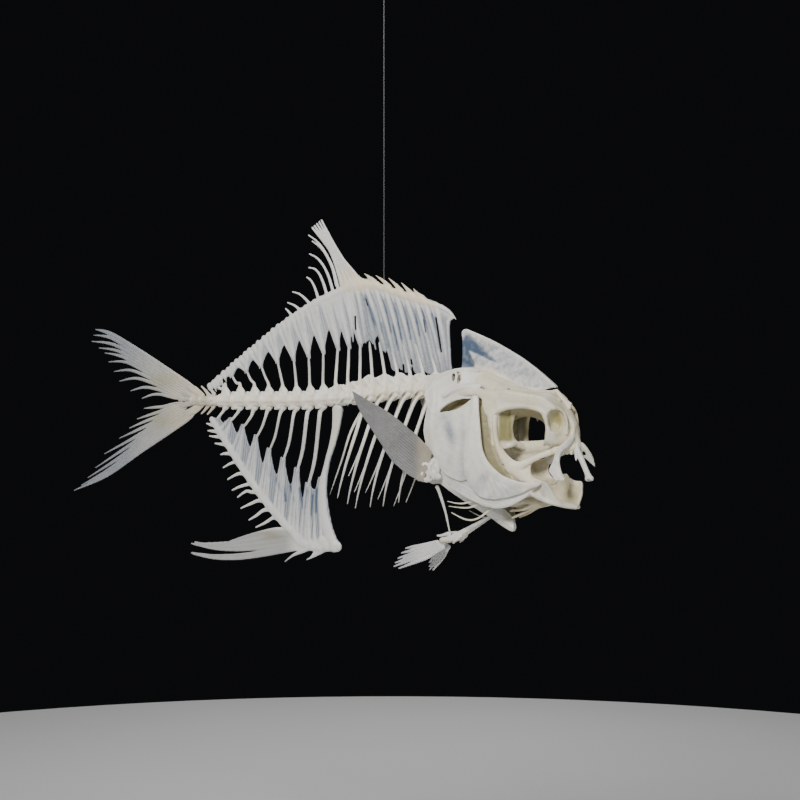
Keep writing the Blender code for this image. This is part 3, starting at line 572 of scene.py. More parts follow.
def bone_finish(name, body=IVORY, high=CHALK, roughness=0.46, soak=0.12):
    bench = Bench(name)
    patches = bench.noise(70.0, 4.0, 0.6).step(0.38, 0.66)
    wrinkles = bench.noise(230.0, 5.0, 0.62)
    grain = bench.noise(620.0, 3.0, 0.6)
    pores = bench.noise(1900.0, 2.0, 0.5)
    colour = bench.blend(patches * 0.8, body, high)
    colour = bench.blend(bench.fact("warm"), colour, PEACH)
    # The blue-grey of thin bone. On the gill cover and the shoulder the same blue-grey is also painted shade.
    colour = bench.blend(bench.fact("thin") * (0.85 + 0.7 * (grain - 0.5)), colour, GLASS)
    colour = bench.blend(bench.fact("inner"), colour, OLIVE)
    # The dark blue where there is next to no bone. Behind the eye the same dark blue is painted shade.
    colour = bench.blend(bench.fact("clear"), colour, NIGHT)
    # Painted shade: the hollows are darkened towards grey-brown.
    colour = bench.blend(bench.fact("hollow") * 0.45, colour, DUST_AND_SHADE)
    colour = bench.blend(grain.step(0.55, 0.8) * 0.16, colour, DUST_AND_SHADE)
    colour = bench.blend(wrinkles.step(0.50, 0.72) * 0.14, colour, DUST_AND_SHADE)
    height = wrinkles * 0.55 + grain * 0.30 + pores * 0.15
    bump = bench.node("ShaderNodeBump", {}, {"Strength": 0.5, "Distance": 0.0009, "Height": height}, "Normal")
    constants = {
        "Subsurface Weight": soak,
        "Subsurface Radius": (1, 0.8, 0.6),
        "Subsurface Scale": 0.0012,
        "IOR": 1.5,
        "Coat Roughness": 0.35,
    }
    return bench.finish(constants, Base_Color=colour, Roughness=roughness + 0.25 * (grain - 0.5), Normal=bump)


bone = bone_finish("dry_bone")
skull_bone = bone_finish("skull_bone_cream", body=(0.82, 0.74, 0.54), high=(0.87, 0.84, 0.72))
blade_bone = bone_finish("fin_bone", body=(0.72, 0.72, 0.70), high=(0.80, 0.795, 0.77), roughness=0.40,
                         soak=0.2)
tail_bone = bone_finish("tail_fin_bone", body=(0.40, 0.40, 0.38), high=(0.47, 0.47, 0.445), roughness=0.42,
                        soak=0.2)
# The side fins' bone is dark grey: painted shade for the shade that the fins hang in, and the dark seen
# through their thin rays.
shaded_side_bone = bone_finish("side_fin_bone_with_painted_shade", body=(0.155, 0.148, 0.138), high=(0.215, 0.208, 0.195),
                        roughness=0.42, soak=0.1)
print("bone finishes:", [m.name for m in (bone, skull_bone, blade_bone, tail_bone, shaded_side_bone)])

# %% [markdown]
# ## Lines that several bones share
#
# The column, the spines and both fins have to meet, so the tables that place them are kept together. They
# say where the ridges of the fins run, how high the spines of the column reach and how far they lean.

# %% Shared tables
OCCIPUT_X = 66.0
TRUNK_VERTEBRAE, TRUNK_LENGTH = 10, 11.6
TAIL_VERTEBRAE, TAIL_FIRST_LENGTH, TAIL_LAST_LENGTH = 8, 12.8, 15.6
END_VERTEBRAE, END_LENGTH = 3, 10.0
SPINE_SHARE = 0.62
WAIST = 0.83
CENTRUM_R = [(-196, 4.4), (-150, 6.2), (-60, 6.2), (0, 7.4)]
RIDGE = [(-174, 13), (-147.5, 31.5), (-131, 42.5), (-106, 59), (-84.5, 71), (-65, 80.5), (-46, 87),
         (-33, 91), (-19, 92.8), (-4, 90.6), (8, 86.8), (26, 81), (40, 77), (52, 72.8), (59, 68.6),
         (63.4, 63)]
AXIS = [(-200, -0.5), (-81, -0.5), (-32, 2), (15, 7), (66, 8.5)]
NEURAL_TOP = [(-162, 9.5), (-147, 19.5), (-129, 24), (-99, 32), (-71, 37), (-47, 43), (-20, 46), (60, 44)]
NEURAL_LEAN = [(-161, -9), (-113, -8), (-85, -3), (-58, 0), (-46, 2), (-34, 1), (-22, 0), (-10, -3), (5, -6),
               (60, -8)]
HAEMAL_TIP = [(-158, -15), (-142, -18), (-127, -23.5), (-112, -32), (-98, -42.6), (-84, -50), (-71, -58),
              (-58, -69.6)]
HAEMAL_LEAN = [(-158, -8), (-142, -10), (-127, -12), (-112, -13), (-98, -14), (-84, -13.5), (-71, -13),
               (-58, -15)]
ANAL_RIDGE = [(-172, -18), (-161, -32), (-142, -56), (-119, -82), (-91, -108), (-76, -119), (-44, -119)]


def vertebra_joints():
    lengths = [TRUNK_LENGTH] * TRUNK_VERTEBRAE
    shares = np.linspace(0, 1, TAIL_VERTEBRAE)
    lengths += [mix(TAIL_FIRST_LENGTH, TAIL_LAST_LENGTH, share) for share in shares]
    lengths += [END_LENGTH] * END_VERTEBRAE
    return OCCIPUT_X - np.concatenate([[0], np.cumsum(lengths)])


joints = vertebra_joints()
trunk = joints[:TRUNK_VERTEBRAE + 1]
tail = joints[TRUNK_VERTEBRAE:TRUNK_VERTEBRAE + TAIL_VERTEBRAE + 1]
end = joints[TRUNK_VERTEBRAE + TAIL_VERTEBRAE:]


def spine_places(run_of_joints):
    return mix(run_of_joints[:-1], run_of_joints[1:], SPINE_SHARE)


print("vertebra joints at x =", [round(float(x), 1) for x in joints])

# %% [markdown]
# ## The column
#
# A fish's vertebra is an hourglass: two cups back to back, with a raised rim where it meets the next. Ridges
# run along its waist, with pits between them. All of that is one radius that changes along the column and
# round it, so the column is a single formula instead of a row of turned pieces.

# %% Vertebrae and their spines
def column(clay, run_of_joints):
    """A run of vertebrae: rims, waists, and pits between the ridges of each waist."""
    low, high = run_of_joints[-1], run_of_joints[0]
    here, x, y, z = clay.window((low - 1, -14, -16), (high + 1, 14, 24))
    number = np.clip(np.searchsorted(-run_of_joints, -x, side="right") - 1, 0, len(run_of_joints) - 2)
    front, rear = run_of_joints[number], run_of_joints[number + 1]
    share = np.clip((front - x) / (front - rear), 0, 1)
    rim = np.minimum(share, 1 - share) * (front - rear)
    radius = read(CENTRUM_R, x, 4.0)
    waist = np.sin(np.pi * share) ** 0.8
    size = radius * (1 - (1 - WAIST) * waist + 0.05 * hump(rim - 0.9, 0.7) - 0.10 * hump(rim, 0.35))
    up = z - read(AXIS, x, 6.0)
    turn = np.arctan2(up, y)
    pits = 0.5 - 0.5 * np.cos(6 * turn)
    size = size - 0.11 * radius * waist * pits
    shape = np.sqrt((y / 0.92) ** 2 + up ** 2) - size
    shape = np.maximum(shape, np.maximum(low - x, x - high))
    clay.put(here, shape, 0.8)


def neural_spine(clay, x, half=1.15, thin=0.9, foot=5.2):
    axis, top, lean = read(AXIS, x), read(NEURAL_TOP, x), read(NEURAL_LEAN, x)
    root = axis + read(CENTRUM_R, x) - 1.5
    clay.mid_rod([
        (x + 0.8, root + 0.5, foot, 2.3),
        (x + 0.4, root + 3.2, foot * 0.72, 1.7),
        (x + 0.1, root + 5.8, foot * 0.42, 1.3),
        (x - 0.3, root + 9.5, half * 1.1, 1.0),
        (x + 0.45 * lean, mix(root, top, 0.62), half, thin),
        (x + 0.85 * lean, mix(root, top, 0.9), half * 0.85, thin * 0.8),
        (x + lean, top, half * 0.45, thin * 0.5),
    ], blend=1.2)


def haemal_spine(clay, x, half):
    thin = 0.85
    root = read(AXIS, x) - read(CENTRUM_R, x) + 1.0
    tip, lean = read(HAEMAL_TIP, x), read(HAEMAL_LEAN, x)
    depth = root - tip
    clay.mid_rod([
        (x + 0.8, root, 3.0, 2.2),
        (x + 0.10 * lean, root - min(3.0, 0.2 * depth), 1.9, 1.4),
        (x + 0.24 * lean, root - min(8.0, 0.4 * depth), half * 1.2, 1.0),
        (x + 0.55 * lean, mix(root, tip, 0.66), half * 1.1, thin),
        (x + lean, tip, half * 0.8, thin),
    ], blend=1.2)


def joint_peaks(clay, x, side_up, tall):
    """The small triangular processes with which one vertebra leans on the next."""
    axis, radius = read(AXIS, x), read(CENTRUM_R, x)
    for side in (-1, 1):
        clay.rod(on_side([
            (x + 3.0, 2.4, axis + side_up * (radius - 1.0), 2.0, 1.2),
            (x + 0.2, 2.2, axis + side_up * (radius + tall * 0.5), 1.3, 0.9),
            (x - 1.6, 1.9, axis + side_up * (radius + tall), 0.5, 0.45),
        ], side), blend=0.9, steps=3)


clay = Clay((-174, -9, -82), (-48, 9, 50))
column(clay, tail)
for x in spine_places(tail):
    neural_spine(clay, x)
    haemal_spine(clay, x, half=1.1 + 0.5 * smooth((x + 95) / 30))
for x in tail[1:-1]:
    joint_peaks(clay, x, 1, 0.4)
    joint_peaks(clay, x, -1, 0.4)
clay.mid_rod([(-163, -0.5, 4.3, 4), (-172.5, -0.5, 4.3, 4)], blend=0.6)
tail_bones = harden(clay, "tail_column")
x, y, z = tail_bones.xyz
tail_bones.paint(thin=0.55 * smooth((np.abs(z) - 9) / 12), warm=0.28 * smooth((6.5 - np.abs(z + 0.5)) / 3))
tail_bones.settle(bone, "bone", "tail_vertebrae")

# %% [markdown]
# In front of the tail the column carries the ribs. Each rib leaves the side of its vertebra, bows out round
# where the belly was, and comes in again at its tip. The near ribs hang almost straight and the far ones
# lean back, so the photograph shows them crossing.

# %% The trunk: vertebrae, arches and ribs
RIB_ROOTS = mix(trunk[:-1], trunk[1:], 0.5)
NEAR_TIPS = {6: (-38.2, -77.8), 5: (-27.8, -82), 4: (-19.3, -85), 3: (-5.2, -83.4), 2: (7, -82.5),
             1: (21.5, -79)}
FAR_TIPS = {7: (-56.5, -76.5), 6: (-40.5, -63), 5: (-35.4, -75.4), 4: (-25.8, -75.5), 3: (-14.1, -80),
            2: (1.1, -84), 1: (11.2, -83)}


def rib(clay, root, tip, side, stout):
    axis = read(AXIS, root)
    bulge = read([(-33, 10), (-9, 15), (14, 20), (50, 22)], root)
    high, middle, low = (0.30, 0.54, 0.78) if side < 0 else (0.50, 0.76, 0.93)
    clay.rod([
        (root, side * 4.5, axis - 3.5, 1.9, 1.7),
        (root - 4, side * 8, axis - 9.5, 1.5, 1.1),
        (mix(root, tip[0], high), side * bulge * 0.86, -26, 1.55 * stout, 0.8 * stout),
        (mix(root, tip[0], middle), side * bulge, mix(-26, tip[1], 0.42), 1.25 * stout, 0.7 * stout),
        (mix(root, tip[0], low), side * bulge * 0.88, mix(-26, tip[1], 0.76), 0.85 * stout, 0.6 * stout),
        (tip[0], side * bulge * 0.58, tip[1], 0.45 * stout, 0.4 * stout),
    ], blend=0.9)


clay = Clay((-58, -27, -89), (67, 27, 52), 0.52)
column(clay, trunk)
for number, tip in NEAR_TIPS.items():
    rib(clay, RIB_ROOTS[number], tip, -1, 1.0)
for number, tip in FAR_TIPS.items():
    rib(clay, RIB_ROOTS[number], tip, 1, 0.75)
for x in spine_places(trunk)[1:]:
    neural_spine(clay, x, half=1.3, thin=1.0, foot=4.6)
comb_foot = [(x, float(read(AXIS, x)) + 4) for x in (63, 40, 15, -9, -32, -50)]
comb = comb_foot + [(-51, 9.5), (-42, 12), (-36, 11.5), (-30, 14.5), (-25, 15), (-19, 17), (-14, 20),
                    (-8, 17.5), (0.6, 20.5), (8.7, 18), (15, 21.5), (24.6, 17.5), (32, 21), (40, 18.5),
                    (47, 21.5), (54, 19), (61, 15)]


def comb_half(x, z, edge):
    return 2.1 - 0.9 * smooth((z - 12) / 12) + 0.35 * wave(x, TRUNK_LENGTH / 2)


clay.sheet(comb, 0, comb_half, rim=0.8)
for x in trunk[2:-1]:
    joint_peaks(clay, x, 1, 4.0)
for x in RIB_ROOTS[1:9]:
    axis = float(read(AXIS, x))
    for side in (-1, 1):
        # A short splint stands off each vertebra, over the root of its rib.
        clay.rod(on_side([(x, 4, axis + 3, 1.1, 0.9), (x - 4, 7, axis - 2, 0.7, 0.6),
                          (x - 8, 9, axis - 7, 0.3, 0.3)], side), blend=1.4)
trunk_bones = harden(clay, "trunk_and_ribs", relief=0.06)
x, y, z = trunk_bones.xyz
trunk_bones.paint(thin=0.45 * smooth((z - 26) / 10) + 0.35 * smooth((-30 - z) / 25))
glow = 0.5 + 0.5 * lumps(trunk_bones.places, 5.0, 2.0)
trunk_bones.paint(warm=(0.18 + 0.35 * glow) * smooth((11 - np.abs(z - 6)) / 7) * smooth((x + 60) / 40))
trunk_bones.settle(bone, "bone", "neural_arches", "rib_cage_right", "rib_cage_left")

# %% [markdown]
# ## The fin of the back
#
# Under the fin stands a fence of small blades, one for each ray. Behind, two or three of them close like a
# claw on the tip of each spine of the column, and the gaps between the claws are open. In front they are
# long slanting rods that reach down to the column and cross its spines. A sheet thin enough to look blue
# joins them all.
#
# The fence could be built blade by blade and joined, but melting rods into one thin sheet gives the same
# soft webs that the real bone has. What `thin` paints is how near the surface lies to the middle of the
# fish.

# %% The fence of the back
WEB_HALF = 0.42
BACK_LEAN, BACK_GROOVES = 0.26, 2.3
ROD_HEADS = [-34.5, -25, -15.5, -6.5, 3, 12.5, 21.5, 30.5, 39.5, 49]
ROD_FEET = [-29, -17, 1.5, 11.5, 19.5, 28.5, 37.5, 46.5, 54, 58]
ROD_FOOT_Z = [46, 45, 37, 26, 24, 24, 23, 22, 20.5, 24]


def ridge_z(x):
    return float(read(RIDGE, x))


def claws():
    """Where the tip of each free neural spine is, from the tail forward."""
    roots = [float(x) for x in np.concatenate([spine_places(tail), spine_places(trunk)]) if -160 < x < -18]
    return [(x + float(read(NEURAL_LEAN, x)), float(read(NEURAL_TOP, x))) for x in sorted(roots)]


clay = Clay((-177, -4.5, 6), (70, 4.5, 152), 0.5)
tips = claws()
lower = [(-170, 13.5), (-160, 13)]
for (x_rear, z_rear), (x_front, z_front) in zip(tips, tips[1:]):
    lower.append((x_rear, z_rear - 0.5))
    apex, foot_z = 0.5 * (x_rear + x_front) - 0.5, 0.5 * (z_rear + z_front)
    lower.append((apex, foot_z + 0.40 * (ridge_z(apex) - foot_z)))
lower += [(tips[-1][0], tips[-1][1] - 0.5), (-13.4, 47), (-10.2, 43.5), (-6, 50.5), (-3, 41), (-0.7, 38),
          (2.8, 38), (5.6, 30), (7.4, 24), (12.5, 22), (15.2, 26.5), (17.6, 22), (24, 21.5), (26, 26),
          (28.4, 21), (34, 21), (36, 26.5), (38.4, 21), (45, 20.5), (47, 27), (49.4, 20.5), (57, 20),
          (60.5, 20), (60.2, 42), (58.4, 59)]
top = [(x, z - 0.8) for x, z in RIDGE]


def back_web(x, z, edge):
    return WEB_HALF + 0.13 * wave(x + BACK_LEAN * z, BACK_GROOVES) * smooth((20 - x) / 30)


clay.sheet(top + lower[::-1], 0, back_web, rim=0.3, steps=3)

for tip_x, tip_z in tips:
    head_x = tip_x - BACK_LEAN * (ridge_z(tip_x) - tip_z) - 1.0
    for side in (-1, 0, 1):
        x = head_x + side * (4.6 - 1.4 * smooth((tip_x + 70) / 40))
        z = ridge_z(x)
        half = 2.4 if side else 1.9
        foot_x, foot_z = tip_x + side * 1.35, tip_z - (2.5 if side else -1.0) - 1.2 * (side > 0)
        clay.mid_rod([
            (x - 0.8, z - 1.0, half, 1.1),
            (x + 0.6, z - 3.6, half * 0.95, 1.05),
            (mix(x, foot_x, 0.45), mix(z, foot_z, 0.48), 1.55, 0.9),
            (foot_x - 0.4, foot_z + 3.0, 1.15, 0.75),
            (foot_x, foot_z, 0.45, 0.4),
        ], blend=1.3, steps=4)
for x in np.arange(-171.5, -158, 3.6):
    z = ridge_z(x)
    clay.mid_rod([(x, z - 0.6, 1.4, 1.0), (x + 2.5, z - 3.0, 1.2, 0.9), (x + 4.2, z - 7.5, 0.5, 0.5)],
                 blend=1.2)

rods = list(zip(ROD_HEADS, ROD_FEET, ROD_FOOT_Z))
for head, foot, foot_z in rods:
    z = ridge_z(head)
    clay.mid_rod([
        (head - 2.2, z - 1, 2.6, 1.5),
        (head + 0.6, z - 8, 2.0, 1.2),
        (mix(head, foot, 0.52), mix(z, foot_z, 0.5), 1.75, 1.0),
        (mix(head, foot, 0.82), mix(z, foot_z, 0.8), 1.4, 0.85),
        (foot, foot_z, 0.5, 0.5),
    ], blend=0.9)
for pair in zip(rods, rods[1:]):
    # Between each two of them runs a finer one.
    head, foot, foot_z = np.mean(pair, axis=0)
    z = ridge_z(head)
    ends = (head, z), (foot, foot_z)
    clay.mid_rod([(head - 1, z - 3, 1.5, 1.2), (*between(*ends, 0.3), 0.9, 0.75),
                  (*between(*ends, 0.7), 1.15, 0.8), (foot, foot_z - 1, 0.7, 0.55)], blend=0.7)
clay.mid_rod([(58.2, 60, 1.5, 1.1), (58.9, 47, 1, 0.9), (60, 30, 0.9, 0.8), (60.6, 24, 1.4, 0.8)], blend=0.8)

# %% The ridge of the back, its short spines and its hook
ridge = []
for x, z in RIDGE:
    stout = float(smooth((x + 118) / 70) * (1 - 0.85 * smooth((x - 40) / 16)))
    ridge.append((x, z - 0.9 - 0.9 * stout, 0.9 + 1.7 * stout, 0.9 + 0.95 * stout))
clay.mid_rod(ridge[:-1], blend=1.0, steps=4)
# The hook at the front end is thin, and keen at its tip.
clay.mid_rod([(52, 71.6, 1.7, 1.3), (58, 68.4, 1.4, 1), (62.2, 65, 1, 0.7), (65.2, 61.4, 0.3, 0.3)],
             blend=0.8)
clay.mid_rod([(60.4, 65.6, 1.2, 0.9), (59.6, 62.5, 1.3, 0.9), (58.6, 59, 1.4, 0.9)], blend=1)
for x, rise, reach in ((-10.5, 8.5, 8), (0.5, 9, 8.3), (11.5, 9.8, 7.2), (22, 9.2, 6), (31, 6.8, 3.8)):
    z = ridge_z(x)
    clay.ball((x + 2.5, 0, z - 0.8), (4.2, 2.1, 2.3), blend=1)
    clay.mid_rod([(x + 4.2, z - 0.5, 2.0, 1.3), (x - 0.5, z + 0.42 * rise, 1.4, 1.0),
                  (x - reach, z + rise, 0.3, 0.3)], blend=0.9)

# %% The tall lobe and the sickle rays behind it
LOBE_FRONT = [(-19.8, 91), (-23.8, 97), (-34, 107.5), (-39, 113.2), (-49.2, 128.2), (-59, 144.8)]
LOBE_REAR = [(-39.1, 88), (-43.3, 99.5), (-47.8, 112), (-52.4, 120.6), (-60, 129.4), (-69.1, 138.8)]
SICKLES = [
    [(-42.9, 87), (-46.3, 99), (-50.5, 108.9), (-57.2, 120.4), (-64, 127.7), (-72.2, 133.2)],
    [(-45, 92), (-48.8, 106.1), (-53.8, 114.6), (-60.6, 122.6), (-68.8, 128.2)],
    [(-47.9, 85.6), (-52.2, 97.9), (-57.2, 107.1), (-64, 114.4), (-71.4, 118)],
    [(-54.2, 83.5), (-57.2, 92.5), (-61.5, 101), (-66.2, 105.6), (-72, 107)],
    [(-61.5, 77.5), (-64, 85), (-66.6, 91.4), (-70, 96.5), (-74, 99.3)],
    [(-70.5, 76.5), (-73.4, 79.8), (-77.2, 83.2), (-82, 86.2), (-88.2, 88)],
    [(-79.8, 71.3), (-83, 74.6), (-87.2, 77.2), (-93.2, 79.4)],
    [(-88, 67), (-91.2, 71), (-95.2, 74.6)],
]
lobe_end = [between(*edge[-2:], 0.5) for edge in (LOBE_FRONT, LOBE_REAR)]
lobe_ring = LOBE_FRONT[:-1] + lobe_end + LOBE_REAR[-2::-1]
clay.sheet(lobe_ring, 0, lambda x, z, edge: 0.62 - 0.2 * smooth((z - 92) / 30), rim=0.3, steps=3)
for share in (0.05, 0.27, 0.50, 0.73, 0.95):
    clay.ray([between(*pair, share) for pair in zip(LOBE_FRONT, LOBE_REAR)], (1.9, 0.9), (1.07, 0.77), 0.5)
for ray in SICKLES:
    clay.ray(ray, (1.5, 0.7), (0.95, 0.5), 0.7)
clay.ball((-24, 0, 91.5), (12, 2.3, 5), blend=2)

# %% Open slits between the blades, and the finish
SLITS = [((47.5, 63), (52.3, 37), 0.75), ((-26.8, 66), (-26.3, 56), 0.9), ((2.6, 33), (4.4, 22), 1.2),
         ((11.6, 27), (12.2, 22.5), 0.9), ((18, 27), (18.4, 22.5), 0.9), ((25.2, 31), (25.8, 28), 0.8),
         ((36.5, 62), (38.6, 52), 0.3), ((-17, 80), (-15, 74), 0.4)]
for top_end, low_end, half in SLITS:
    (left, low), (right, high) = np.min([top_end, low_end], 0) - 4, np.max([top_end, low_end], 0) + 4
    here, x, y, z = clay.window((left, -9, low), (right, 9, high))
    flat = line_distance(x, z, [top_end, between(top_end, low_end, 0.5), low_end])
    clay.put(here, flat - half + 0 * y, 0.4, cut=True)
back_fin = harden(clay, "fin_of_the_back", relief=0.05, lump=3.0)
x, y, z = back_fin.xyz
deep = np.abs(y)
front = smooth((x + 60) / 50)
near_ridge = z - read(RIDGE, x)
web = (1 - smooth((deep - 0.45) / 0.75)) * smooth((-2 - near_ridge) / 8)
back_fin.paint(thin=web * mix(0.46, 0.86, front) + 0.16 * (1 - smooth((deep - 0.8) / 0.8)))
# Between the rods in front the web is thinnest along a few slanting streaks, and there the dark shows
# through.
STREAKS = [((-17.3, 81.4), (-8.3, 59.2)), ((-9.9, 71.6), (-1.8, 53.6)), ((0.6, 78), (7.1, 53.4)),
           ((10.3, 75), (16.7, 47.8)), ((19.8, 72), (24.6, 47.6)), ((29.3, 69), (32.5, 50.2)),
           ((35.6, 71.5), (40.3, 47.3)), ((-2, 60), (4, 42)), ((9, 58), (13, 40)), ((44, 66), (50, 40))]


def streaks(x, z, lines, half):
    """How near each point is to the middle of the nearest streak: 1 on it, and 0 far from it."""
    return hump(np.min([line_distance(x, z, line) for line in lines], axis=0), half)


grooves = 0.5 - 0.5 * wave(x + BACK_LEAN * z, BACK_GROOVES)
shadows = np.maximum(streaks(x, z, STREAKS, 1.5), 0.30 * (1 - front) * grooves)
back_fin.paint(clear=web * shadows * (0.85 + 0.3 * lumps(back_fin.places, 3.0)))
lobe_base = smooth((z - 84) / 5) * smooth((116 - z) / 18) * smooth((x + 45) / 8)
ridge_stain = smooth((near_ridge + 6) / 3.5) * smooth((x + 34) / 12) * smooth((56 - x) / 16)
back_fin.paint(warm=np.maximum(0.75 * ridge_stain, 0.6 * lobe_base))
back_fin.settle(blade_bone, "blade_bone", "dorsal_fin")

# %% [markdown]
# ## The fin of the belly
#
# It is built like the one above, upside down. One great strut comes down from the first spine of the tail,
# where it closed the belly off, and ends in a knobbly corner. From the corner the long rays sweep back, and
# up the slanting ridge stand twelve short hooked ones.

# %% The strut, the ridge and the web
BELLY_LEAN, BELLY_GROOVES = 0.12, 2.2
STRUT = [(-43.8, -8, 5.2, 2), (-45.5, -22, 3.8, 1.8), (-49.2, -36, 3, 1.6), (-53, -46.5, 2.6, 1.5),
         (-55.6, -56, 2.8, 1.5), (-57.3, -63, 3.4, 1.6), (-58.2, -72, 3.8, 1.6), (-58.3, -82, 4, 1.6),
         (-57.4, -91, 4.3, 1.6), (-53.6, -103, 4.8, 1.7), (-48.6, -114, 4.8, 1.9), (-45.8, -118.5, 2.6, 1.9)]
GAP_TOPS = [(-158.5, -20), (-145.5, -27.5), (-132, -38.5), (-119, -51.5), (-105, -61), (-91, -69),
            (-78.5, -79)]

clay = Clay((-198, -4.5, -137), (-36, 4.5, -3), 0.5)
roots = sorted(float(x) for x in spine_places(tail))
hooks = [(x + float(read(HAEMAL_LEAN, x)), float(read(HAEMAL_TIP, x))) for x in roots]
upper = [(-172, -16.5), (-165, -14.8)]
for (x, z), gap in zip(hooks[1:], GAP_TOPS):
    upper += [gap, (x - 1.8, z - 0.5), (x + 1.2, z + 0.5)]
upper += [(-66, -72), (-62.5, -62), (-57, -68)]
web = [(-50, -100), (-48, -116)] + ANAL_RIDGE[::-1]


def belly_web(x, z, edge):
    return WEB_HALF + 0.13 * wave(x - BELLY_LEAN * z, BELLY_GROOVES)


clay.sheet(upper + web, 0, belly_web, rim=0.3, steps=3)
clay.mid_rod(STRUT, blend=1.5)
clay.mid_rod([(x, z + 1.8, 2.2 + 1.6 * t, 1.0 + 0.9 * t) for (x, z), t in
              zip(ANAL_RIDGE, np.linspace(0.1, 1, len(ANAL_RIDGE)))], blend=2)


def anal_ridge_z(x):
    return float(read(ANAL_RIDGE, x))


for i, (tip_x, tip_z) in enumerate(hooks[1:]):
    share = i / (len(hooks) - 2)
    # The blades of one claw start side by side on the ridge, and lean forward as they rise.
    head_x = tip_x - mix(9, 2.5, share)
    for side in (-1, 0, 1):
        x = head_x + side * mix(3.6, 4.4, share)
        z = anal_ridge_z(x) + 1
        foot_x, foot_z = tip_x + side * mix(0.9, 1.9, share), tip_z + (2.5 if side else -2)
        clay.mid_rod([
            (x, z, 2.3, 1.3),
            (mix(x, foot_x, 0.3), mix(z, foot_z, 0.3), 1.75, 1.05),
            (mix(x, foot_x, 0.68), mix(z, foot_z, 0.66), 1.45, 0.9),
            (foot_x, foot_z, 1.1, 0.6),
        ], blend=1.0)
for head, foot in (((-66, -117), (-66.5, -74)), ((-59, -117), (-62.6, -66)), ((-72, -117), (-72, -80))):
    clay.mid_rod([(*head, 2.4, 1.4), (*between(head, foot, 0.5), 1.3, 1.0), (*foot, 0.5, 0.45)], blend=0.7)
for x in np.arange(-168, -150, 4.2):
    z = anal_ridge_z(x)
    clay.mid_rod([(x, z + 2, 1.5, 1.1), (x + 4, z + 7, 0.9, 0.8), (x + 6, z + 11, 0.4, 0.4)], blend=0.5)

# %% The corner, its two spines and the long rays
for centre, radii in (((-48, 0, -116.8), (3.8, 2.8, 4.4)), ((-54.5, 0, -118), (4.2, 2.7, 3.6)),
                      ((-61.5, 0, -119), (3.6, 2.4, 3.2)), ((-68.5, 0, -118.5), (3.6, 2.2, 3.2)),
                      ((-75.5, 0, -117), (3.8, 2, 3)), ((-58, 0, -113.5), (5, 2.2, 3.6))):
    clay.ball(centre, radii, blend=1.2)
for path in ([(-56, -119.5), (-64.5, -124.5), (-74, -129.2)],
             [(-71, -119), (-78.5, -122.5), (-88, -126.5), (-96, -132)],
             [(-61, -120), (-66.5, -123.5), (-70, -127.3)], [(-75, -119), (-80, -120.8), (-85.5, -122)]):
    clay.ray(path, (2.3, 0.5), (1.37, 0.65), 0.9)
SWEEPS = [
    [(-80, -119.5), (-100, -123.8), (-120, -128), (-145, -132), (-170, -133), (-192, -130.6)],
    [(-82, -117.5), (-101, -121.8), (-121, -125.6), (-145, -129), (-170, -130.6), (-193.4, -129.6)],
    [(-84, -115.5), (-102, -119.2), (-121, -122.2), (-145, -124.8), (-170, -125), (-193.6, -121.8)],
    [(-85, -112.5), (-101, -115.4), (-118, -118.2), (-140, -121.2), (-166, -122.6), (-190, -120.4)],
    [(-88, -110), (-103, -111), (-118, -113.6), (-135, -117), (-152, -119.6), (-172, -120.8)],
    [(-90, -106.5), (-104, -106), (-120, -109), (-136, -113), (-152, -117.8)],
]
for first, last in ((0, 1), (2, 5)):
    # The rays of each half of the sweep are joined by skin, so they look like one frayed ribbon.
    clay.sheet(SWEEPS[first] + SWEEPS[last][::-1], 0, 0.45, rim=0.3, steps=3)
for ray in SWEEPS:
    clay.ray(ray, (2.2, 0.7), (1.028, 0.668), 0.6)

# %% The twelve hooked rays, and the finish
HOOKED = [
    [(-101, -96.5), (-108.1, -96.7), (-115.4, -100.7), (-125.6, -105.2)],
    [(-110, -89.5), (-118.2, -91), (-124.7, -95.2), (-132.6, -99.4)],
    [(-116, -82.5), (-123.8, -83.2), (-131.2, -86), (-141.2, -90)],
    [(-122, -76), (-129.3, -76.2), (-135.9, -75.8), (-144.8, -81)],
    [(-127, -69), (-132.1, -69.6), (-141.5, -71.8), (-150.4, -75.3)],
    [(-133, -61.5), (-139.6, -61.2), (-145.3, -61.8), (-155.2, -66.4)],
    [(-139, -53.5), (-145, -52), (-151, -52.6), (-159.8, -56.6)],
    [(-145, -46), (-152.9, -45), (-158, -44.8), (-162.6, -45.8)],
    [(-151, -39), (-156, -38), (-162, -37), (-168.4, -36.5)],
    [(-157, -32), (-162.5, -31.2), (-168, -30.8), (-174.2, -30.4)],
    [(-162, -26.8), (-167, -26.6), (-171, -26.2), (-176, -25.8)],
    [(-166, -21.5), (-170, -21.4), (-173.5, -20.8), (-177.5, -19.8)],
]
HOOKED_SIZES = [(2.2, 1.1), (1.55, 0.8), (1.3, 0.7), (0.7, 0.5)]
for ray in HOOKED:
    clay.mid_rod([point + size for point, size in zip(ray, HOOKED_SIZES)], blend=1.0)
belly_fin = harden(clay, "fin_of_the_belly", relief=0.06, lump=3.0)
x, y, z = belly_fin.xyz
deep = np.abs(y)
inner = smooth((z - read(ANAL_RIDGE, x) - 3) / 6)
BELLY_STREAKS = [((-103.5, -65), (-100, -73.6)), ((-90, -70), (-86, -82)), ((-81, -72), (-77, -87.5)),
                 ((-73, -73), (-77, -93)), ((-68, -77), (-70, -93)), ((-97, -71), (-95, -82)),
                 ((-113.6, -53), (-112, -62)), ((-64, -72), (-65, -90))]
web = (1 - smooth((deep - 0.45) / 0.8)) * inner
lobe = smooth((-82 - x) / 14) * smooth((-104 - z) / 6)
belly_fin.paint(thin=web * 0.66 + 0.12)
grooves = 0.5 - 0.5 * wave(x - BELLY_LEAN * z, BELLY_GROOVES)
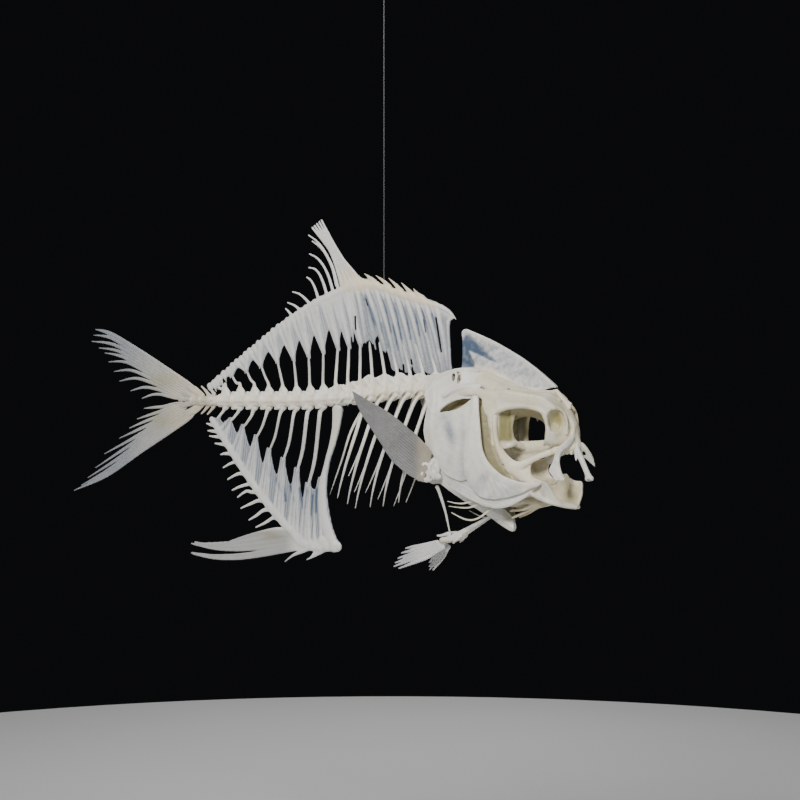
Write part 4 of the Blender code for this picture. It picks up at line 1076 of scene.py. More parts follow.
belly_fin.paint(clear=web * np.maximum(streaks(x, z, BELLY_STREAKS, 1.9), 0.62 * grooves) + 0.46 * lobe)
stain = spot(x + 109, 11, z + 111.5, 4.0)
belly_fin.paint(inner=0.36 * stain + 0.10 * lobe,
                warm=0.5 * stain + 0.25 * smooth((z + 60) / 40) * smooth((x + 62) / 8) + 0.22 * lobe)
belly_fin.settle(blade_bone, "blade_bone", "anal_fin")

# %% [markdown]
# ## The tail
#
# The last vertebrae carry flat plates, and the rays of the tail clasp those plates. Each ray is split
# lengthwise many times, so a lobe looks like a sheaf of straw: stout along its outer edge, thin and frayed
# towards the fork.

# %% The plates at the root of the tail
clay = Clay((-215, -8, -24), (-168, 8, 22), 0.4)
column(clay, end)
PLATES = [((-182, 2.5), (-198, 11.5), 3.4), ((-184, 1.2), (-203.5, 6), 2.8), ((-185, 0), (-206.5, 0.8), 2.2),
          ((-184, -1.4), (-205, -4.8), 2.6), ((-182, -2.8), (-199, -12), 3.4)]
for near, far, half in PLATES:
    clay.mid_rod([(*near, 1.8, 1.9), (*between(near, far, 0.5), half * 0.8, 1.3), (*far, half, 1.0)],
                 blend=0.5)
for x, lean, tall in ((-168.5, 8, 10.5), (-175, 8, 10), (-181.5, 9, 10)):
    for side in (-1, 1):
        clay.mid_rod([(x, side * 4.0, 1.8, 1.3), (x - lean * 0.55, side * (4 + tall * 0.45), 1.1, 0.9),
                      (x - lean, side * (3 + tall * 0.85), 0.7, 0.6)], blend=1.0)
root = harden(clay, "root_of_the_tail", relief=0.05)
x, y, z = root.xyz
root.paint(warm=0.25 + 0.2 * smooth((x + 200) / 10), thin=0.25 * smooth((-190 - x) / 12))
root.settle(tail_bone, "bone", "tail_base")

# %% The two lobes
UPPER_LOBE = [
    ((-197, 14), (-251, 41.5), (-285, 58), (-303, 62.5), 2.6),
    ((-199, 12.5), (-251, 38), (-283, 54), (-305, 57.5), 2),
    ((-201, 11), (-250, 34.5), (-281, 48.5), (-307.5, 52), 1.9),
    ((-203, 9.5), (-248, 31), (-277, 43), (-299, 46), 1.8),
    ((-204.5, 8), (-246, 27.5), (-272, 38), (-292, 41.5), 1.8),
    ((-206, 6.5), (-243, 23.5), (-267, 33), (-287.5, 33.5), 1.7),
    ((-207.5, 5), (-240, 19), (-262, 26), (-281, 25), 1.6),
    ((-209, 3.8), (-237, 14.5), (-256, 19), (-275, 16.5), 1.6),
    ((-210, 2.6), (-233, 9.5), (-247, 11), (-262, 8), 1.5),
    ((-211, 1.2), (-228, 4.8), (-238, 4.5), (-249, 1.4), 1.3),
]
LOWER_LOBE = [
    ((-211, -2.6), (-226, -5.8), (-236, -6.4), (-246.5, -7.2), 1.4),
    ((-210, -4.4), (-229, -10), (-241, -13), (-254.5, -16.5), 1.5),
    ((-209, -6), (-232, -14.5), (-247, -19), (-263.5, -24.5), 1.6),
    ((-208, -7.8), (-235, -19), (-254, -26), (-275, -33.5), 1.7),
    ((-206.5, -9.5), (-238, -23.5), (-262, -34.5), (-292.5, -47.5), 1.8),
    ((-205, -11.2), (-241, -28), (-270, -43), (-303, -60), 1.9),
    ((-203, -13), (-244, -33), (-278, -52), (-312, -69), 2),
    ((-200.5, -14.8), (-247, -38), (-285, -60), (-320, -76), 2.1),
    ((-198, -16.6), (-250, -43.5), (-290, -66), (-328.6, -80.8), 2.6),
]


def tail_lobe(name, node, rays, clay):
    for start, middle, late, tip, half in rays:
        clay.mid_rod([
            (start[0] + 7, start[1] * 0.72, 0.5, 0.5),
            (*start, half * 0.62, 1.1),
            (*between(start, middle, 0.5), half * 0.9, 1.0),
            (*middle, half, 0.8),
            (*late, half * 0.82, 0.6),
            (*tip, 0.45, 0.35),
        ], blend=0.22)
    lobe = harden(clay, name, relief=0.05, lump=3.0)
    x, y, z = lobe.xyz
    lobe.paint(thin=0.10 + 0.30 * smooth((-225 - x) / 50), clear=0.34 * smooth((-230 - x) / 50),
               warm=0.35 * smooth((x + 226) / 18), inner=0.34 * spot(x + 226, 16, np.abs(z) - 17, 7))
    lobe.settle(tail_bone, "blade_bone", node)


tail_lobe("upper_lobe_of_the_tail", "caudal_fin_upper", UPPER_LOBE, Clay((-312, -4, -4), (-190, 4, 68), 0.42))
tail_lobe("lower_lobe_of_the_tail", "caudal_fin_lower", LOWER_LOBE, Clay((-334, -4, -86), (-190, 4, 2), 0.42))

# %% [markdown]
# ## The skull
#
# The skull is the braincase, the roof over the eyes and the snout, and in a grown fish they are one bone. It
# is made in the order of a carver's work: the roof and the snout are massed first, the eye hole and the
# nostrils are cut through them, and the braincase, the keel and the ridges are laid on afterwards, so that
# no cut can reach them.
#
# What one sees through the eye hole matters most. Behind the eye two thin wings of bone curve in from the
# braincase, and between their thick front edges the light comes through from the far side.

# %% The masses of the skull, and what is cut from them
BRAINCASE = [(66.5, 8.5, 7, 6), (74, 6, 15, 9), (84, 0, 22.5, 13), (96, -5.5, 23.5, 16),
             (106, -9, 22, 16.5), (112.5, -11.5, 18, 14)]
ROOF = [(88, 14, 9.5, 11), (100, 8.5, 10.3, 16), (112, 6.5, 8, 20), (124, 3.1, 7, 21.5),
        (138, 0.4, 6.4, 20), (149.5, -1.2, 6.6, 17.5), (155.5, -5.4, 5.6, 12), (160.5, -12.5, 5.8, 7.5)]
SNOUT = [(147, -20, 14, 13.5), (150, -20, 16.2, 16.3), (154.5, -19.5, 15.8, 15.3),
         (159, -20, 15.4, 10.2), (163, -22.5, 13, 7.4), (167.5, -26, 8.5, 5.2)]
UNDER_ROOF = [(107, -5, 8, 15), (118, -7, 8, 18.5), (131, -7, 8, 18.5), (142, -8, 9, 16), (150, -13, 13, 14)]


def brow_middle(x, z):
    return side * (20.6 - 0.004 * np.maximum(x - 118, 0) ** 2 - 0.10 * np.maximum(z, 0))


clay = Clay((54, -27, -50), (182, 27, 34), 0.52)
clay.loft(ROOF, power=2.6, blend=1.5)
clay.loft(UNDER_ROOF, power=3.0, blend=1.5)
clay.loft(SNOUT, power=2.5, blend=1.5)
for side in (-1, 1):
    # The side of the head over the eye, from the shelf behind it to the snout.
    clay.sheet([(103, 4), (112, 6.5), (122, 6), (134, 4.5), (146, 2.5), (154, -2.5), (158, -8), (153, -13),
                (147, -8), (140, -5), (131, -4.5), (122, -5), (113, -8), (108.5, -12), (103, -10),
                (100, -2)], brow_middle, 1.3, blend=2.5)
# The eye hole is a funnel: wide at the side of the head, and narrow in the middle of it.
here, x, y, z = clay.window((104, -27, -36), (156, 27, 0))
open_up = smooth(np.abs(y) / 19.5)
wide, tall = mix(15.2, 21.7, open_up), mix(9.4, 13.5, open_up)
eye_x, eye_z = mix(127.2, 129.9, open_up), mix(-21.8, -18.3, open_up)
clay.put(here, (np.sqrt(((x - eye_x) / wide) ** 2 + ((z - eye_z) / tall) ** 2) - 1) * tall, 1.2, cut=True)
for side in (-1, 1):
    clay.ball((156.5, side * 15.4, -15.4), (6.2, 7.2, 8.4), blend=1.6, cut=True)
    # The groove down the front of the snout, between its side and the bone of its tip.
    for x, y, z, half in ((161.5, 7, -8, 1.3), (163.8, 6.4, -14, 1.5), (165.2, 5.9, -20, 1.4)):
        clay.ball((x, side * y, z), (half, half, 4.0), blend=1.2, cut=True)
clay.loft(BRAINCASE, power=2.3, blend=2.0)
clay.mid_rod([(134.6, -10, 1.8, 1.4), (134.9, -15.6, 0.5, 0.5)], blend=0.8)

# %% The wings behind the eye, and the keel below it
def wing_middle(x, z):
    return side * (20.6 - 0.70 * np.maximum(x - 108.5, 0) - 0.25 * np.maximum(108.5 - x, 0))


def wing_half(x, z, edge):
    return 0.55 + 1.0 * hump(edge + 1.4, 1.3) * smooth((x - 116) / 3)


for side in (-1, 1):
    clay.sheet([(105, -4), (113, -5), (121, -8), (121.2, -14), (119.8, -20), (119.8, -27), (122, -34),
                (113, -36), (105, -30), (102, -18)], wing_middle, wing_half, blend=1.5)
    clay.rod(on_side([(121.5, 12.6, -7, 2.8, 1.6), (119.6, 12.6, -15, 2.1, 1.3), (118.8, 12.4, -23, 2, 1.3),
                      (120.0, 9.5, -31, 2.4, 1.5), (124, 3, -35, 2.4, 1.8)], side), blend=1.6)
clay.mid_rod([(104, -29, 5.8, 5), (112, -34.8, 5.2, 4.2), (121, -35.4, 4.9, 2.8), (135, -34.6, 4.5, 2.4),
              (146, -33.6, 4.6, 3), (158, -33.2, 4, 4.8)], blend=1.5)
clay.sheet([(106, -34), (112, -42.5), (120, -45.5), (131, -45), (139, -41.5), (147, -37), (130, -36),
            (115, -34)], 0, 0.6, blend=1.2)
# The roof of the mouth, with its patch of blunt teeth.
clay.ball((161, 0, -35.2), (8, 7.4, 3.4), blend=2.5)
for x, y in ((156, -4), (158.5, -6), (161.5, -5.4), (164.6, -4.4), (167, -1.5), (167, 1.5), (164.6, 4.4),
             (161.5, 5.4), (158.5, 6), (156, 4), (160, -1), (163.5, 1)):
    clay.ball((x, y, -38.2), (1.1, 1.1, 1.9), blend=0.8)
clay.mid_rod([(162.4, -14, 2.2, 2.2), (164.8, -21, 2.4, 2.8), (166.2, -28, 3, 3.4), (167.5, -33, 2.8, 2.6)],
             blend=1.5)

# %% Ridges, struts and pits
SKULL_RIDGES = [
    # The shelf over the gill cover, and the ridge above it.
    ([(66, 11.5, -1), (74, 14.5, 3.4), (83, 17, 5.4), (92, 18.2, 5.8), (99, 19, 4.6), (110, 19.6, 3)],
     3.4, 2.4),
    ([(74, 8.5, 17), (86, 11.5, 15.2), (97, 15, 11.2), (106, 17, 8.4)], 1.6, 1.4),
    # The foot of the crest, where it spreads over the braincase.
    ([(70, 3.5, 17.5), (84, 4, 20.6), (93, 5.6, 19.6), (102, 7.6, 16.4), (111, 9, 12.2), (121, 9, 8.6)],
     3, 2.8),
    ([(80, 4.5, 20.0), (92, 11.0, 15.6), (103, 15.5, 10.2)], 0.9, 0.9),
    ([(96, 6.5, 19), (104, 12, 12.8), (112, 16.5, 7.6)], 0.9, 0.8),
    # The strut from the shelf down to the rim of the eye.
    ([(97, 18.6, 6.0), (101.6, 19.6, -0.5), (105.4, 20.0, -8.5), (106.6, 20.2, -15)], 1.8, 1.4),
    ([(112, 20.6, 2), (112.5, 20.8, -3.5), (115, 20.6, -6.8)], 1, 0.9),
    # The brow, and the post in front of the eye.
    ([(106.4, 20.0, -19), (107.6, 20.2, -12.6), (112.4, 20.4, -8.4), (120.5, 20.4, -5.9), (131, 19.8, -4.9),
      (140, 18.6, -5.8), (146.4, 17.2, -8.4), (149.4, 16.6, -13), (150.8, 16, -18.5), (151.2, 15.4, -24),
      (149, 13.2, -29.5), (145.5, 9.5, -32.5)], 1.3, 1.3),
    ([(152, 15.6, -4), (157.6, 12, -5.6), (161.4, 9.6, -9.8), (163.2, 8.6, -17), (162.8, 8.4, -24.5)],
     1.1, 1),
    ([(128, 19, 1), (138, 16.4, 3.2), (148, 11, 3.6), (156, 5.5, 0.2)], 0.9, 0.8),
    ([(118, 18.6, 4), (128, 13.5, 6.6), (140, 7.6, 6.2), (150, 3, 5.2)], 0.9, 0.8),
]
for ridge, half, thin in SKULL_RIDGES:
    for side in (-1, 1):
        clay.rod(on_side([(*point, half, thin) for point in ridge], side), blend=2.2)
# The keel of the forehead ends in a small broken tip, just under the crest.
clay.sheet([(134, 5), (141, 6.4), (147, 7.2), (151.2, 8), (155.5, 3.8), (159.5, -0.4), (163.2, -2.4),
            (162, -6.5), (150, -4), (138, 0)], 0, 1.1, blend=1.2, steps=0)
for side in (-1, 1):
    # The side wall of the ear's chamber, seen through the window over the gill cover.
    clay.sheet([(55, -13), (56, -3), (60, 3), (68, 7), (82, 8), (92, 2), (90, -14), (72, -16)],
               lambda x, z: side * (9.0 + 0.10 * (x - 55) - 0.10 * np.maximum(z, 0)), 0.9, blend=2.0)
    for centre, radii in (((80.5, 14.4, -3), (5.6, 2.2, 3)), ((91, 17.4, -2.8), (5, 2.2, 2.2)),
                          ((119, 16.4, 7.4), (3, 2.2, 0.9)), ((64.5, 10.4, -8.6), (1.5, 2.4, 1.1)),
                          ((69.5, 11, -9.4), (1, 2.4, 0.9)), ((75, 11.6, -9.8), (1.3, 2.4, 0.8)),
                          ((88, 14.6, -10), (4.6, 2.2, 5)), ((99, 16.6, -14), (3.8, 2, 5)),
                          ((152.8, 11.4, -16.6), (0.8, 2.4, 1.1))):
        clay.ball((centre[0], side * centre[1], centre[2]), radii, blend=1.2, cut=True)
skull = harden(clay, "skull", relief=0.15, lump=3.4, hollow_shading=0.65)
x, y, z = skull.xyz
wide = np.abs(y)
outward = skull.normals[:, 1] * np.sign(y)
from_eye = np.sqrt(((x - 131) / 20.2) ** 2 + ((z + 18.2) / 13.4) ** 2)
behind_eye = smooth((122.5 - x) / 3) * smooth((x - 104) / 3) * smooth((19.6 - wide) / 1.8)
behind_eye *= smooth((-5 - z) / 3) * smooth((z + 32) / 3) * mix(0.15, 1.0, smooth((outward + 0.3) / 0.5))
in_orbit = smooth((1.12 - from_eye) / 0.12) * smooth((19.0 - wide) / 4) * smooth((z + 31) / 3)
in_orbit *= mix(0.35, 1.0, smooth((outward + 0.3) / 0.5))
pit = spot(x - 155.8, 6.2, z + 14.8, 9.0) * smooth((15.6 - wide) / 2.5) * smooth((wide - 4) / 3)
under_shelf = smooth((3.5 - z) / 3) * smooth((100 - x) / 4) * smooth((17.5 - wide) / 2)
# In the eye hole, on the wall behind it and under the keel, most of the painted shade of the hollows is taken
# off.
less_hollow_shade = np.maximum.reduce([in_orbit, behind_eye, smooth((-33 - z) / 3)])
cream = smooth((x - 60) / 20) * smooth((110 - x) / 15) * smooth((z - 6) / 8)
skull.paint(
    inner=np.maximum.reduce([0.98 * behind_eye, 0.62 * in_orbit, 0.95 * pit, 0.72 * under_shelf,
                             0.08 * smooth((-40.5 - z) / 3)]),
    hollow=skull.facts["hollow"] * (1 - 0.85 * less_hollow_shade),
    # Painted shade: the wall behind the eye, and more faintly the inside of the eye hole, are darkened with
    # the dark blue.
    clear=np.maximum(0.20 * behind_eye, 0.07 * in_orbit),
    thin=0.10 + 0.12 * lumps(skull.places, 6.0),
    warm=0.20 * cream + 0.10 * smooth(lumps(skull.places, 4.0, 3.0) / 0.5),
)
skull.settle(skull_bone, "skull_bone", "neurocranium")

# %% [markdown]
# The crest stands on the skull like a sail. It is two layers of bone that come together behind, and where
# the layers end, in a ragged edge, only one thin window is left, and the dark behind it shows blue.

# %% The crest
CREST_TOP = [(70.8, 50.0), (71.2, 52.4), (73.0, 53.8), (76.0, 53.4), (84.0, 50.3), (95.7, 45.4),
             (105.0, 41.0), (113, 36.7), (124.4, 30.2), (135.7, 22.4), (143.6, 16.2), (151, 9.7)]
CREST_FOOT = [(147.5, 9.2), (141.3, 7.8), (131.2, 6.9), (123.3, 7.3), (115.3, 10.0), (108.4, 13.5),
              (99.2, 18.0), (90, 20), (80, 20), (71, 20), (70.9, 34)]
WINDOW = [(70.4, 52), (75.2, 50.8), (81.2, 47), (88.8, 40.6), (95.8, 33.8), (101, 28.2), (95.4, 29.4),
          (89.9, 32), (83.7, 34.6), (76.9, 37.2), (79.8, 31.4), (81.8, 27.6), (81.6, 24.6), (70.4, 24.6)]


def crest_half(x, z, edge):
    rim = hump(line_distance(x, z, CREST_TOP), 2.6)
    window = smooth((0.9 - edge_distance(x, z, WINDOW)) / 1.8)
    foot = smooth((24 - z + 0.55 * np.maximum(84 - x, 0)) / 16)
    rays = np.cos(26 * np.arctan2(z - 62, x - 168)) * smooth((x - 84) / 14)
    return (0.75 + 0.8 * foot + 0.55 * rim + 0.10 * rays * (1 - rim)) * (1 - 0.62 * window * (1 - rim))


clay = Clay((66, -5, 2), (156, 5, 60), 0.45)
clay.sheet(CREST_TOP + CREST_FOOT, 0, crest_half, rim=0.45, steps=3)
crest = harden(clay, "crest", relief=0.05, lump=2.6)
x, y, z = crest.xyz
upper_side = smooth((z + 0.55 * (x - 84) - 37) / 3)
window = smooth((1.0 - edge_distance(x, z, np.array(WINDOW))) / mix(2.0, 4.0, upper_side))
rim = smooth((4.2 - line_distance(x, z, CREST_TOP)) / 3.0)
along = np.stack([(x + 0.8 * z) * 0.45, y, z - 0.8 * x], -1)
mottle = 0.5 + 0.55 * lumps(along, 3.2, 9.0) + 0.45 * lumps(crest.places, 1.6, 2.0)
foot = smooth((read([(70, 27), (84, 28), (99, 24.5), (108, 20.5), (115, 16), (123, 11.5), (152, 9.5)], x) - z
               + 1.6 * lumps(crest.places, 2.6, 4.0)) / 3.0)
crest.paint(thin=np.clip(0.75 * np.clip(mottle, 0, 1) ** 1.3 + 0.12, 0, 1) * (1 - 0.8 * rim) * (1 - foot))
crest.paint(clear=window * (0.96 + 0.2 * lumps(crest.places, 2.2)) * (1 - 0.7 * rim)
            * mix(1.0, 0.7, smooth((x - 88) / 14)))
crest.paint(warm=0.30 * foot)
crest.settle(blade_bone, "blade_bone", "supraoccipital_crest")

# %% [markdown]
# ## The cheek and the gill cover
#
# These plates overlap like slates on the side of the head. Each one is a sheet that follows the curve of the
# head, with its own relief: a thick lip along the front of the cheek, ribs that fan out below it, and fine
# lines that spread over the gill cover from its hinge. The near ones are made, and the far ones are their
# mirror images.

# %% The curve of the head
HEAD_HALF_WIDTHS = [(30, 25), (60, 28), (90, 27), (110, 25), (130, 22), (150, 17), (160, 13), (172, 8),
                    (186, 5)]
HEAD_MID_Z = -25.0
HEAD_UP = 48.0
HEAD_DOWN = 80.0


def head_half(x, z):
    off = np.abs(z - HEAD_MID_Z) / np.where(z > HEAD_MID_Z, HEAD_UP, HEAD_DOWN)
    return read(HEAD_HALF_WIDTHS, x, 4.0) * np.sqrt(np.maximum(1 - off ** 2.2, 0.03))


def cheek(lift):
    """The middle surface of a plate on the fish's right side."""
    return lambda x, z: -np.maximum(head_half(x, z) + lift, 1.1)


def plate_clay(outline, lift, half):
    low, high = np.min(outline, 0) - 4, np.max(outline, 0) + 4
    clay = Clay((low[0], -31, low[1]), (high[0], -3, high[1]), 0.4)
    clay.sheet(outline, cheek(lift), half, steps=4)
    return clay


# %% The gill cover
OPERCLE = [(64.5, -10.5), (69.5, -9), (78.8, -7.4), (84, -5.2), (88, -2.4), (92.4, 0.4), (93.4, -10),
           (92.6, -22), (91, -32), (90.4, -42), (91, -56), (84, -60.5), (73, -57), (66, -50.5), (62.4, -42),
           (61.4, -34), (62.4, -26), (63.2, -18)]
HINGE = (90.5, -1.5)


def opercle_half(x, z, edge):
    away = np.hypot(x - HINGE[0], z - HINGE[1])
    turn = np.arctan2(z - HINGE[1], x - HINGE[0])
    lines = np.cos(34 * turn + 0.8 * np.sin(0.35 * away)) * smooth((away - 12) / 10)
    growth = wave(away, 5.2)
    brace = hump(line_distance(x, z, [HINGE, (80, -6.6), (70, -9.5)]), 1.5)
    window = spot(x - 73.5, 3.6, z + 21.5, 7.0)
    swell = hump(line_distance(x, z, [(67, -10), (67.5, -30), (72, -50)]), 3.2)
    return 0.56 + 0.11 * lines + 0.05 * growth + 0.50 * brace - 0.16 * window + 0.45 * swell


# Its front edge goes under the cheek plate, so it lies a little deeper there.
clay = plate_clay(OPERCLE, -0.45, opercle_half)
opercle = harden(clay, "gill_cover_right", relief=0.06, lump=3.5)
x, y, z = opercle.xyz
# Painted shade: a dark blue-grey patch in the middle of the gill cover, a smaller one near its top and a band
# along its front, put into the blue-grey of thin bone. The rest is cloudy thin bone that gets bluer towards
# its bottom.
shade = spot(x - 75.6, 4.6, z + 23.5 + 1.1 * (x - 75), 8.5)
shade = np.maximum(shade, 0.6 * spot(x - 70, 4.5, z + 13.0, 3.0))
shade = np.maximum(shade, 0.35 * hump(x - 86.5, 3.0) * smooth((-8 - z) / 10))
cloudy = 0.5 + 0.5 * lumps(np.stack([x, y, 0.55 * z], -1), 5.0)
opercle.paint(thin=0.95 * shade + 0.02 + 0.34 * cloudy ** 1.5 + 0.16 * smooth((-34 - z) / 12))
opercle.settle_both(bone, "bone", "opercle")

# %% The cheek plate
PREOPERCLE = [(92, 2.2), (94.5, 3.4), (97.4, 1), (99.4, -10), (101, -22), (102.4, -35), (106, -44),
              (112, -51), (119, -56), (131, -60), (141, -60.2), (146.2, -60.6), (143, -63.4), (137, -65.4),
              (131, -68.6), (122, -71.2), (110, -73.4), (98, -71.5), (91.5, -64.5), (87.6, -56), (87.2, -41),
              (90.0, -22), (91.0, -4)]
LIP = [(95.2, 2), (97, -10), (98.4, -22), (99.6, -34), (102.6, -44), (108.6, -52.4), (116, -57.6),
       (127, -61.4), (140, -62)]
SECOND_RIDGE = [(94.6, 1), (93.9, -14.8), (92.4, -29.6), (90.8, -42), (90.2, -52)]


def cheek_half(x, z, edge):
    lip = hump(line_distance(x, z, LIP), 2.9)
    second = hump(line_distance(x, z, SECOND_RIDGE), 1.7)
    turn = np.arctan2(z + 38, x - 98)
    away = np.hypot(x - 98, z + 38)
    below = smooth((-44 - z) / 8) * smooth((line_distance(x, z, LIP) - 3) / 3)
    fan = np.cos(44 * turn) * smooth((away - 12) / 8)
    tubes = hump((np.mod(turn * 5.2 / np.pi + 10, 1) - 0.5) * away * 0.62, 1.1)
    taper = smooth((0.2 - edge) / 2.0) * smooth((98 - x) / 3) + smooth((x - 95) / 3)
    return (0.42 + 0.75 * lip + 0.62 * second * smooth((z + 56) / 6) + below * (0.14 * fan + 0.32 * tubes)) \
        * mix(0.75, 1, np.clip(taper, 0, 1))


clay = plate_clay(PREOPERCLE, 0.1, cheek_half)
cheek_plate = harden(clay, "cheek_plate_right", relief=0.06, lump=3.2)
x, y, z = cheek_plate.xyz
from_lip = line_distance(x, z, LIP)
below = smooth((-48 - z) / 10)
cheek_plate.paint(thin=0.30 * smooth((from_lip - 3) / 5) * (0.35 + 0.65 * below)
                  + (0.12 + 0.30 * lumps(np.stack([x - 0.4 * z, y, 0.5 * z], -1), 4.0)) * below)
cheek_plate.paint(warm=0.16 * smooth((x - 120) / 15))
cheek_plate.settle_both(bone, "bone", "preopercle")

# %% The lower gill plate
SUBOPERCLE = [(64.5, -51), (77, -55), (87.5, -53.6), (94, -62.8), (101, -69.6), (110, -71.4), (122, -69.4),
              (132, -66.6), (140, -64.6), (137, -69), (128, -74.6), (117, -79.4), (105, -80), (90, -74.8),
              (74, -65.8)]


def lower_half(x, z, edge):
    return 0.5 + 0.28 * hump(edge + 1.6, 1.1) * smooth((-66 - z) / 5) + 0.07 * wave(z + 0.52 * x, 3.4)


clay = plate_clay(SUBOPERCLE, -1.7, lower_half)
lower_plate = harden(clay, "lower_gill_plate_right", relief=0.06, lump=3.2)
lower_plate.paint(thin=0.16 + 0.28 * smooth((100 - lower_plate.xyz[0]) / 20)
                  + 0.15 * lumps(lower_plate.places, 5.0))
lower_plate.settle_both(bone, "bone", "subopercle")

# %% [markdown]
# ## What hangs the jaws
#
# Behind the eye a stiff bar comes down from the skull, bends forward under the eye and carries the hinge of
# the lower jaw. A sheet of thinner bone fills the angle behind it, and a second bar runs forward to the
# snout, over the roof of the mouth. Between this sheet and the cheek plate lies a narrow brown slot.

# %% The hanging bars
HANGING_SHEET = [(93, -6), (104, -3), (109.8, -5), (111.2, -12), (111.4, -22), (113, -31), (117, -37.5),
                 (122.5, -43), (130, -45.4), (139.5, -42.5), (137.4, -47), (136.6, -52), (138.4, -56.6),
                 (145, -60.2), (140, -63.2), (130, -61.5), (119, -57.5), (107, -51), (98, -39), (94.5, -22)]
HANGING_BAR = [(107.2, -3.5, 2.8), (109.8, -12, 1.6), (110.4, -22, 1.1), (111.8, -31, 1.2),
               (114.8, -39.5, 1.8), (119.2, -46.5, 2.8), (125, -52, 3.3), (131, -56, 3.6),
               (137.4, -60.4, 2.9)]
PALATE_BAR = [(121, -49.8, 3.2), (129, -48, 2.7), (138, -43.8, 2.2), (147, -39.8, 2.1), (155.5, -36.6, 2.4)]


def sheet_half(x, z, edge):
    turn = np.arctan2(z + 62, x - 139)
    fan = np.cos(20 * turn) * smooth((x - 112) / 6) * smooth((-44 - z) / 4)
    pocks = np.clip(lumps(np.stack([x, 0 * x, z], -1).reshape(-1, 3), 2.4).reshape(x.shape), -1, 0.2)
    return 0.6 + 0.09 * fan + 0.22 * pocks


def on_cheek(path, lift, thin):
    return [(x, float(-head_half(x, z) - lift), z, half, thin) for x, z, half in path]


clay = Clay((90, -30, -68), (160, -5, 0), 0.4)
clay.sheet(HANGING_SHEET, cheek(-4.9), sheet_half, steps=4)
clay.rod(on_cheek(HANGING_BAR, -3.9, 1.7), blend=2.4)
clay.rod(on_cheek(PALATE_BAR, -3.9, 1.3), blend=1.6)
clay.rod([(155, -12.6, -37, 2.4, 1.6), (158.5, -10.4, -35.6, 2, 1.6)], blend=1.5)
for x, z in ((105.2, -10), (106, -19), (105.4, -27), (108.4, -35), (112.2, -42.5), (117, -48.4)):
    clay.ball((x, float(-head_half(x, z)) + 3.7, z), (0.9, 1, 1.9), blend=0.6, cut=True)
bars = harden(clay, "jaw_hanger_right", relief=0.10, lump=2.2, hollow_shading=0.7)
x, y, z = bars.xyz
SLOT_EDGE = [(-70, 128), (-54, 121.4), (-48, 117), (-39, 112.6), (-30, 110.2), (-18, 109.2), (-6, 107.4),
             (5, 105)]
slot = smooth((read(SLOT_EDGE, z) - x) / 1.6)
slot *= mix(0.62, 1.0, smooth((read(SLOT_EDGE, z) - x - 2.6) / 2.4))
inside = smooth((head_half(x, z) + y - 5.6) / 0.6)
bars.paint(inner=np.maximum(0.85 * slot, 0.32 * inside), clear=0.30 * slot,
           warm=0.75 * slot + 0.42 * smooth((lumps(bars.places, 2.4) - 0.05) / 0.5))
bars.settle_both(skull_bone, "skull_bone", "suspensorium")

# %% [markdown]
# ## The mouth
#
# The mouth hangs open. The near cheek bone dangles beside it, the two upper jaws have dropped apart, and the
# lower jaw is a deep bowl: one looks over its near rim at the yellow inside of its far wall.

# %% The cheek bones beside the mouth
MAXILLA = [(156.3, -35.3), (160.3, -33.1), (164.2, -28.4), (166.8, -26.3), (167.5, -28.3), (165, -33),
           (161.6, -36.7), (160.1, -39.4), (159.2, -44.6), (160.3, -50.8), (162.1, -55.4), (163.2, -57.9),
           (157.5, -58.6), (153.4, -55.1), (151.1, -51), (154, -44.7), (155.7, -39.4)]
FAR_MAXILLA = [(156.6, -38.4), (161, -39), (160.6, -41.4), (159.4, -44.6), (159, -49), (160.4, -54.2),
               (161.4, -57.6), (157, -59.2), (152.6, -56.6), (151, -50), (153, -44.4), (155, -40.4)]


def turned(point, centre, degrees):
    turn = math.radians(degrees)
    dx, dz = point[0] - centre[0], point[1] - centre[1]
    return (centre[0] + dx * math.cos(turn) - dz * math.sin(turn),
            centre[1] + dx * math.sin(turn) + dz * math.cos(turn))


def cheek_bone(name, node, outline, spine, side, out):
    def middle(x, z):
        # Its head bends in to the snout.
        return side * (out - 0.65 + 0.07 * (160 - x) - 0.9 * np.maximum(x - 160, 0) * smooth((z + 40) / 6))

    def half(x, z, edge):
        return 0.6 + 0.65 * hump(line_distance(x, z, spine), 1.8)

    low, high = np.min(outline, 0) - 4, np.max(outline, 0) + 4
    middle_y = side * (out - 0.5)
    clay = Clay((low[0], middle_y - 9, low[1]), (high[0], middle_y + 9, high[1]), 0.38)
    clay.sheet(outline, middle, half, steps=4)
    made = harden(clay, name, relief=0.07, lump=2.4)
    made.paint(thin=0.05 + 0.2 * smooth((lumps(made.places, 3.0) + 0.2) / 0.6))
    made.settle(bone, "bone", node)


MAXILLA_SPINE = [(165.5, -28.5), (160.2, -35.4), (157.6, -42), (156.4, -49), (158.8, -57)]
cheek_bone("cheek_bone_right", "maxilla_right", MAXILLA, MAXILLA_SPINE, -1, 13.2)
FAR_SWING = ((157, -41), -64)
far_outline, far_spine = ([turned((x - 6, z - 3), *FAR_SWING) for x, z in path]
                          for path in (FAR_MAXILLA, MAXILLA_SPINE))
cheek_bone("cheek_bone_left", "maxilla_left", far_outline, far_spine, 1, 11.6)

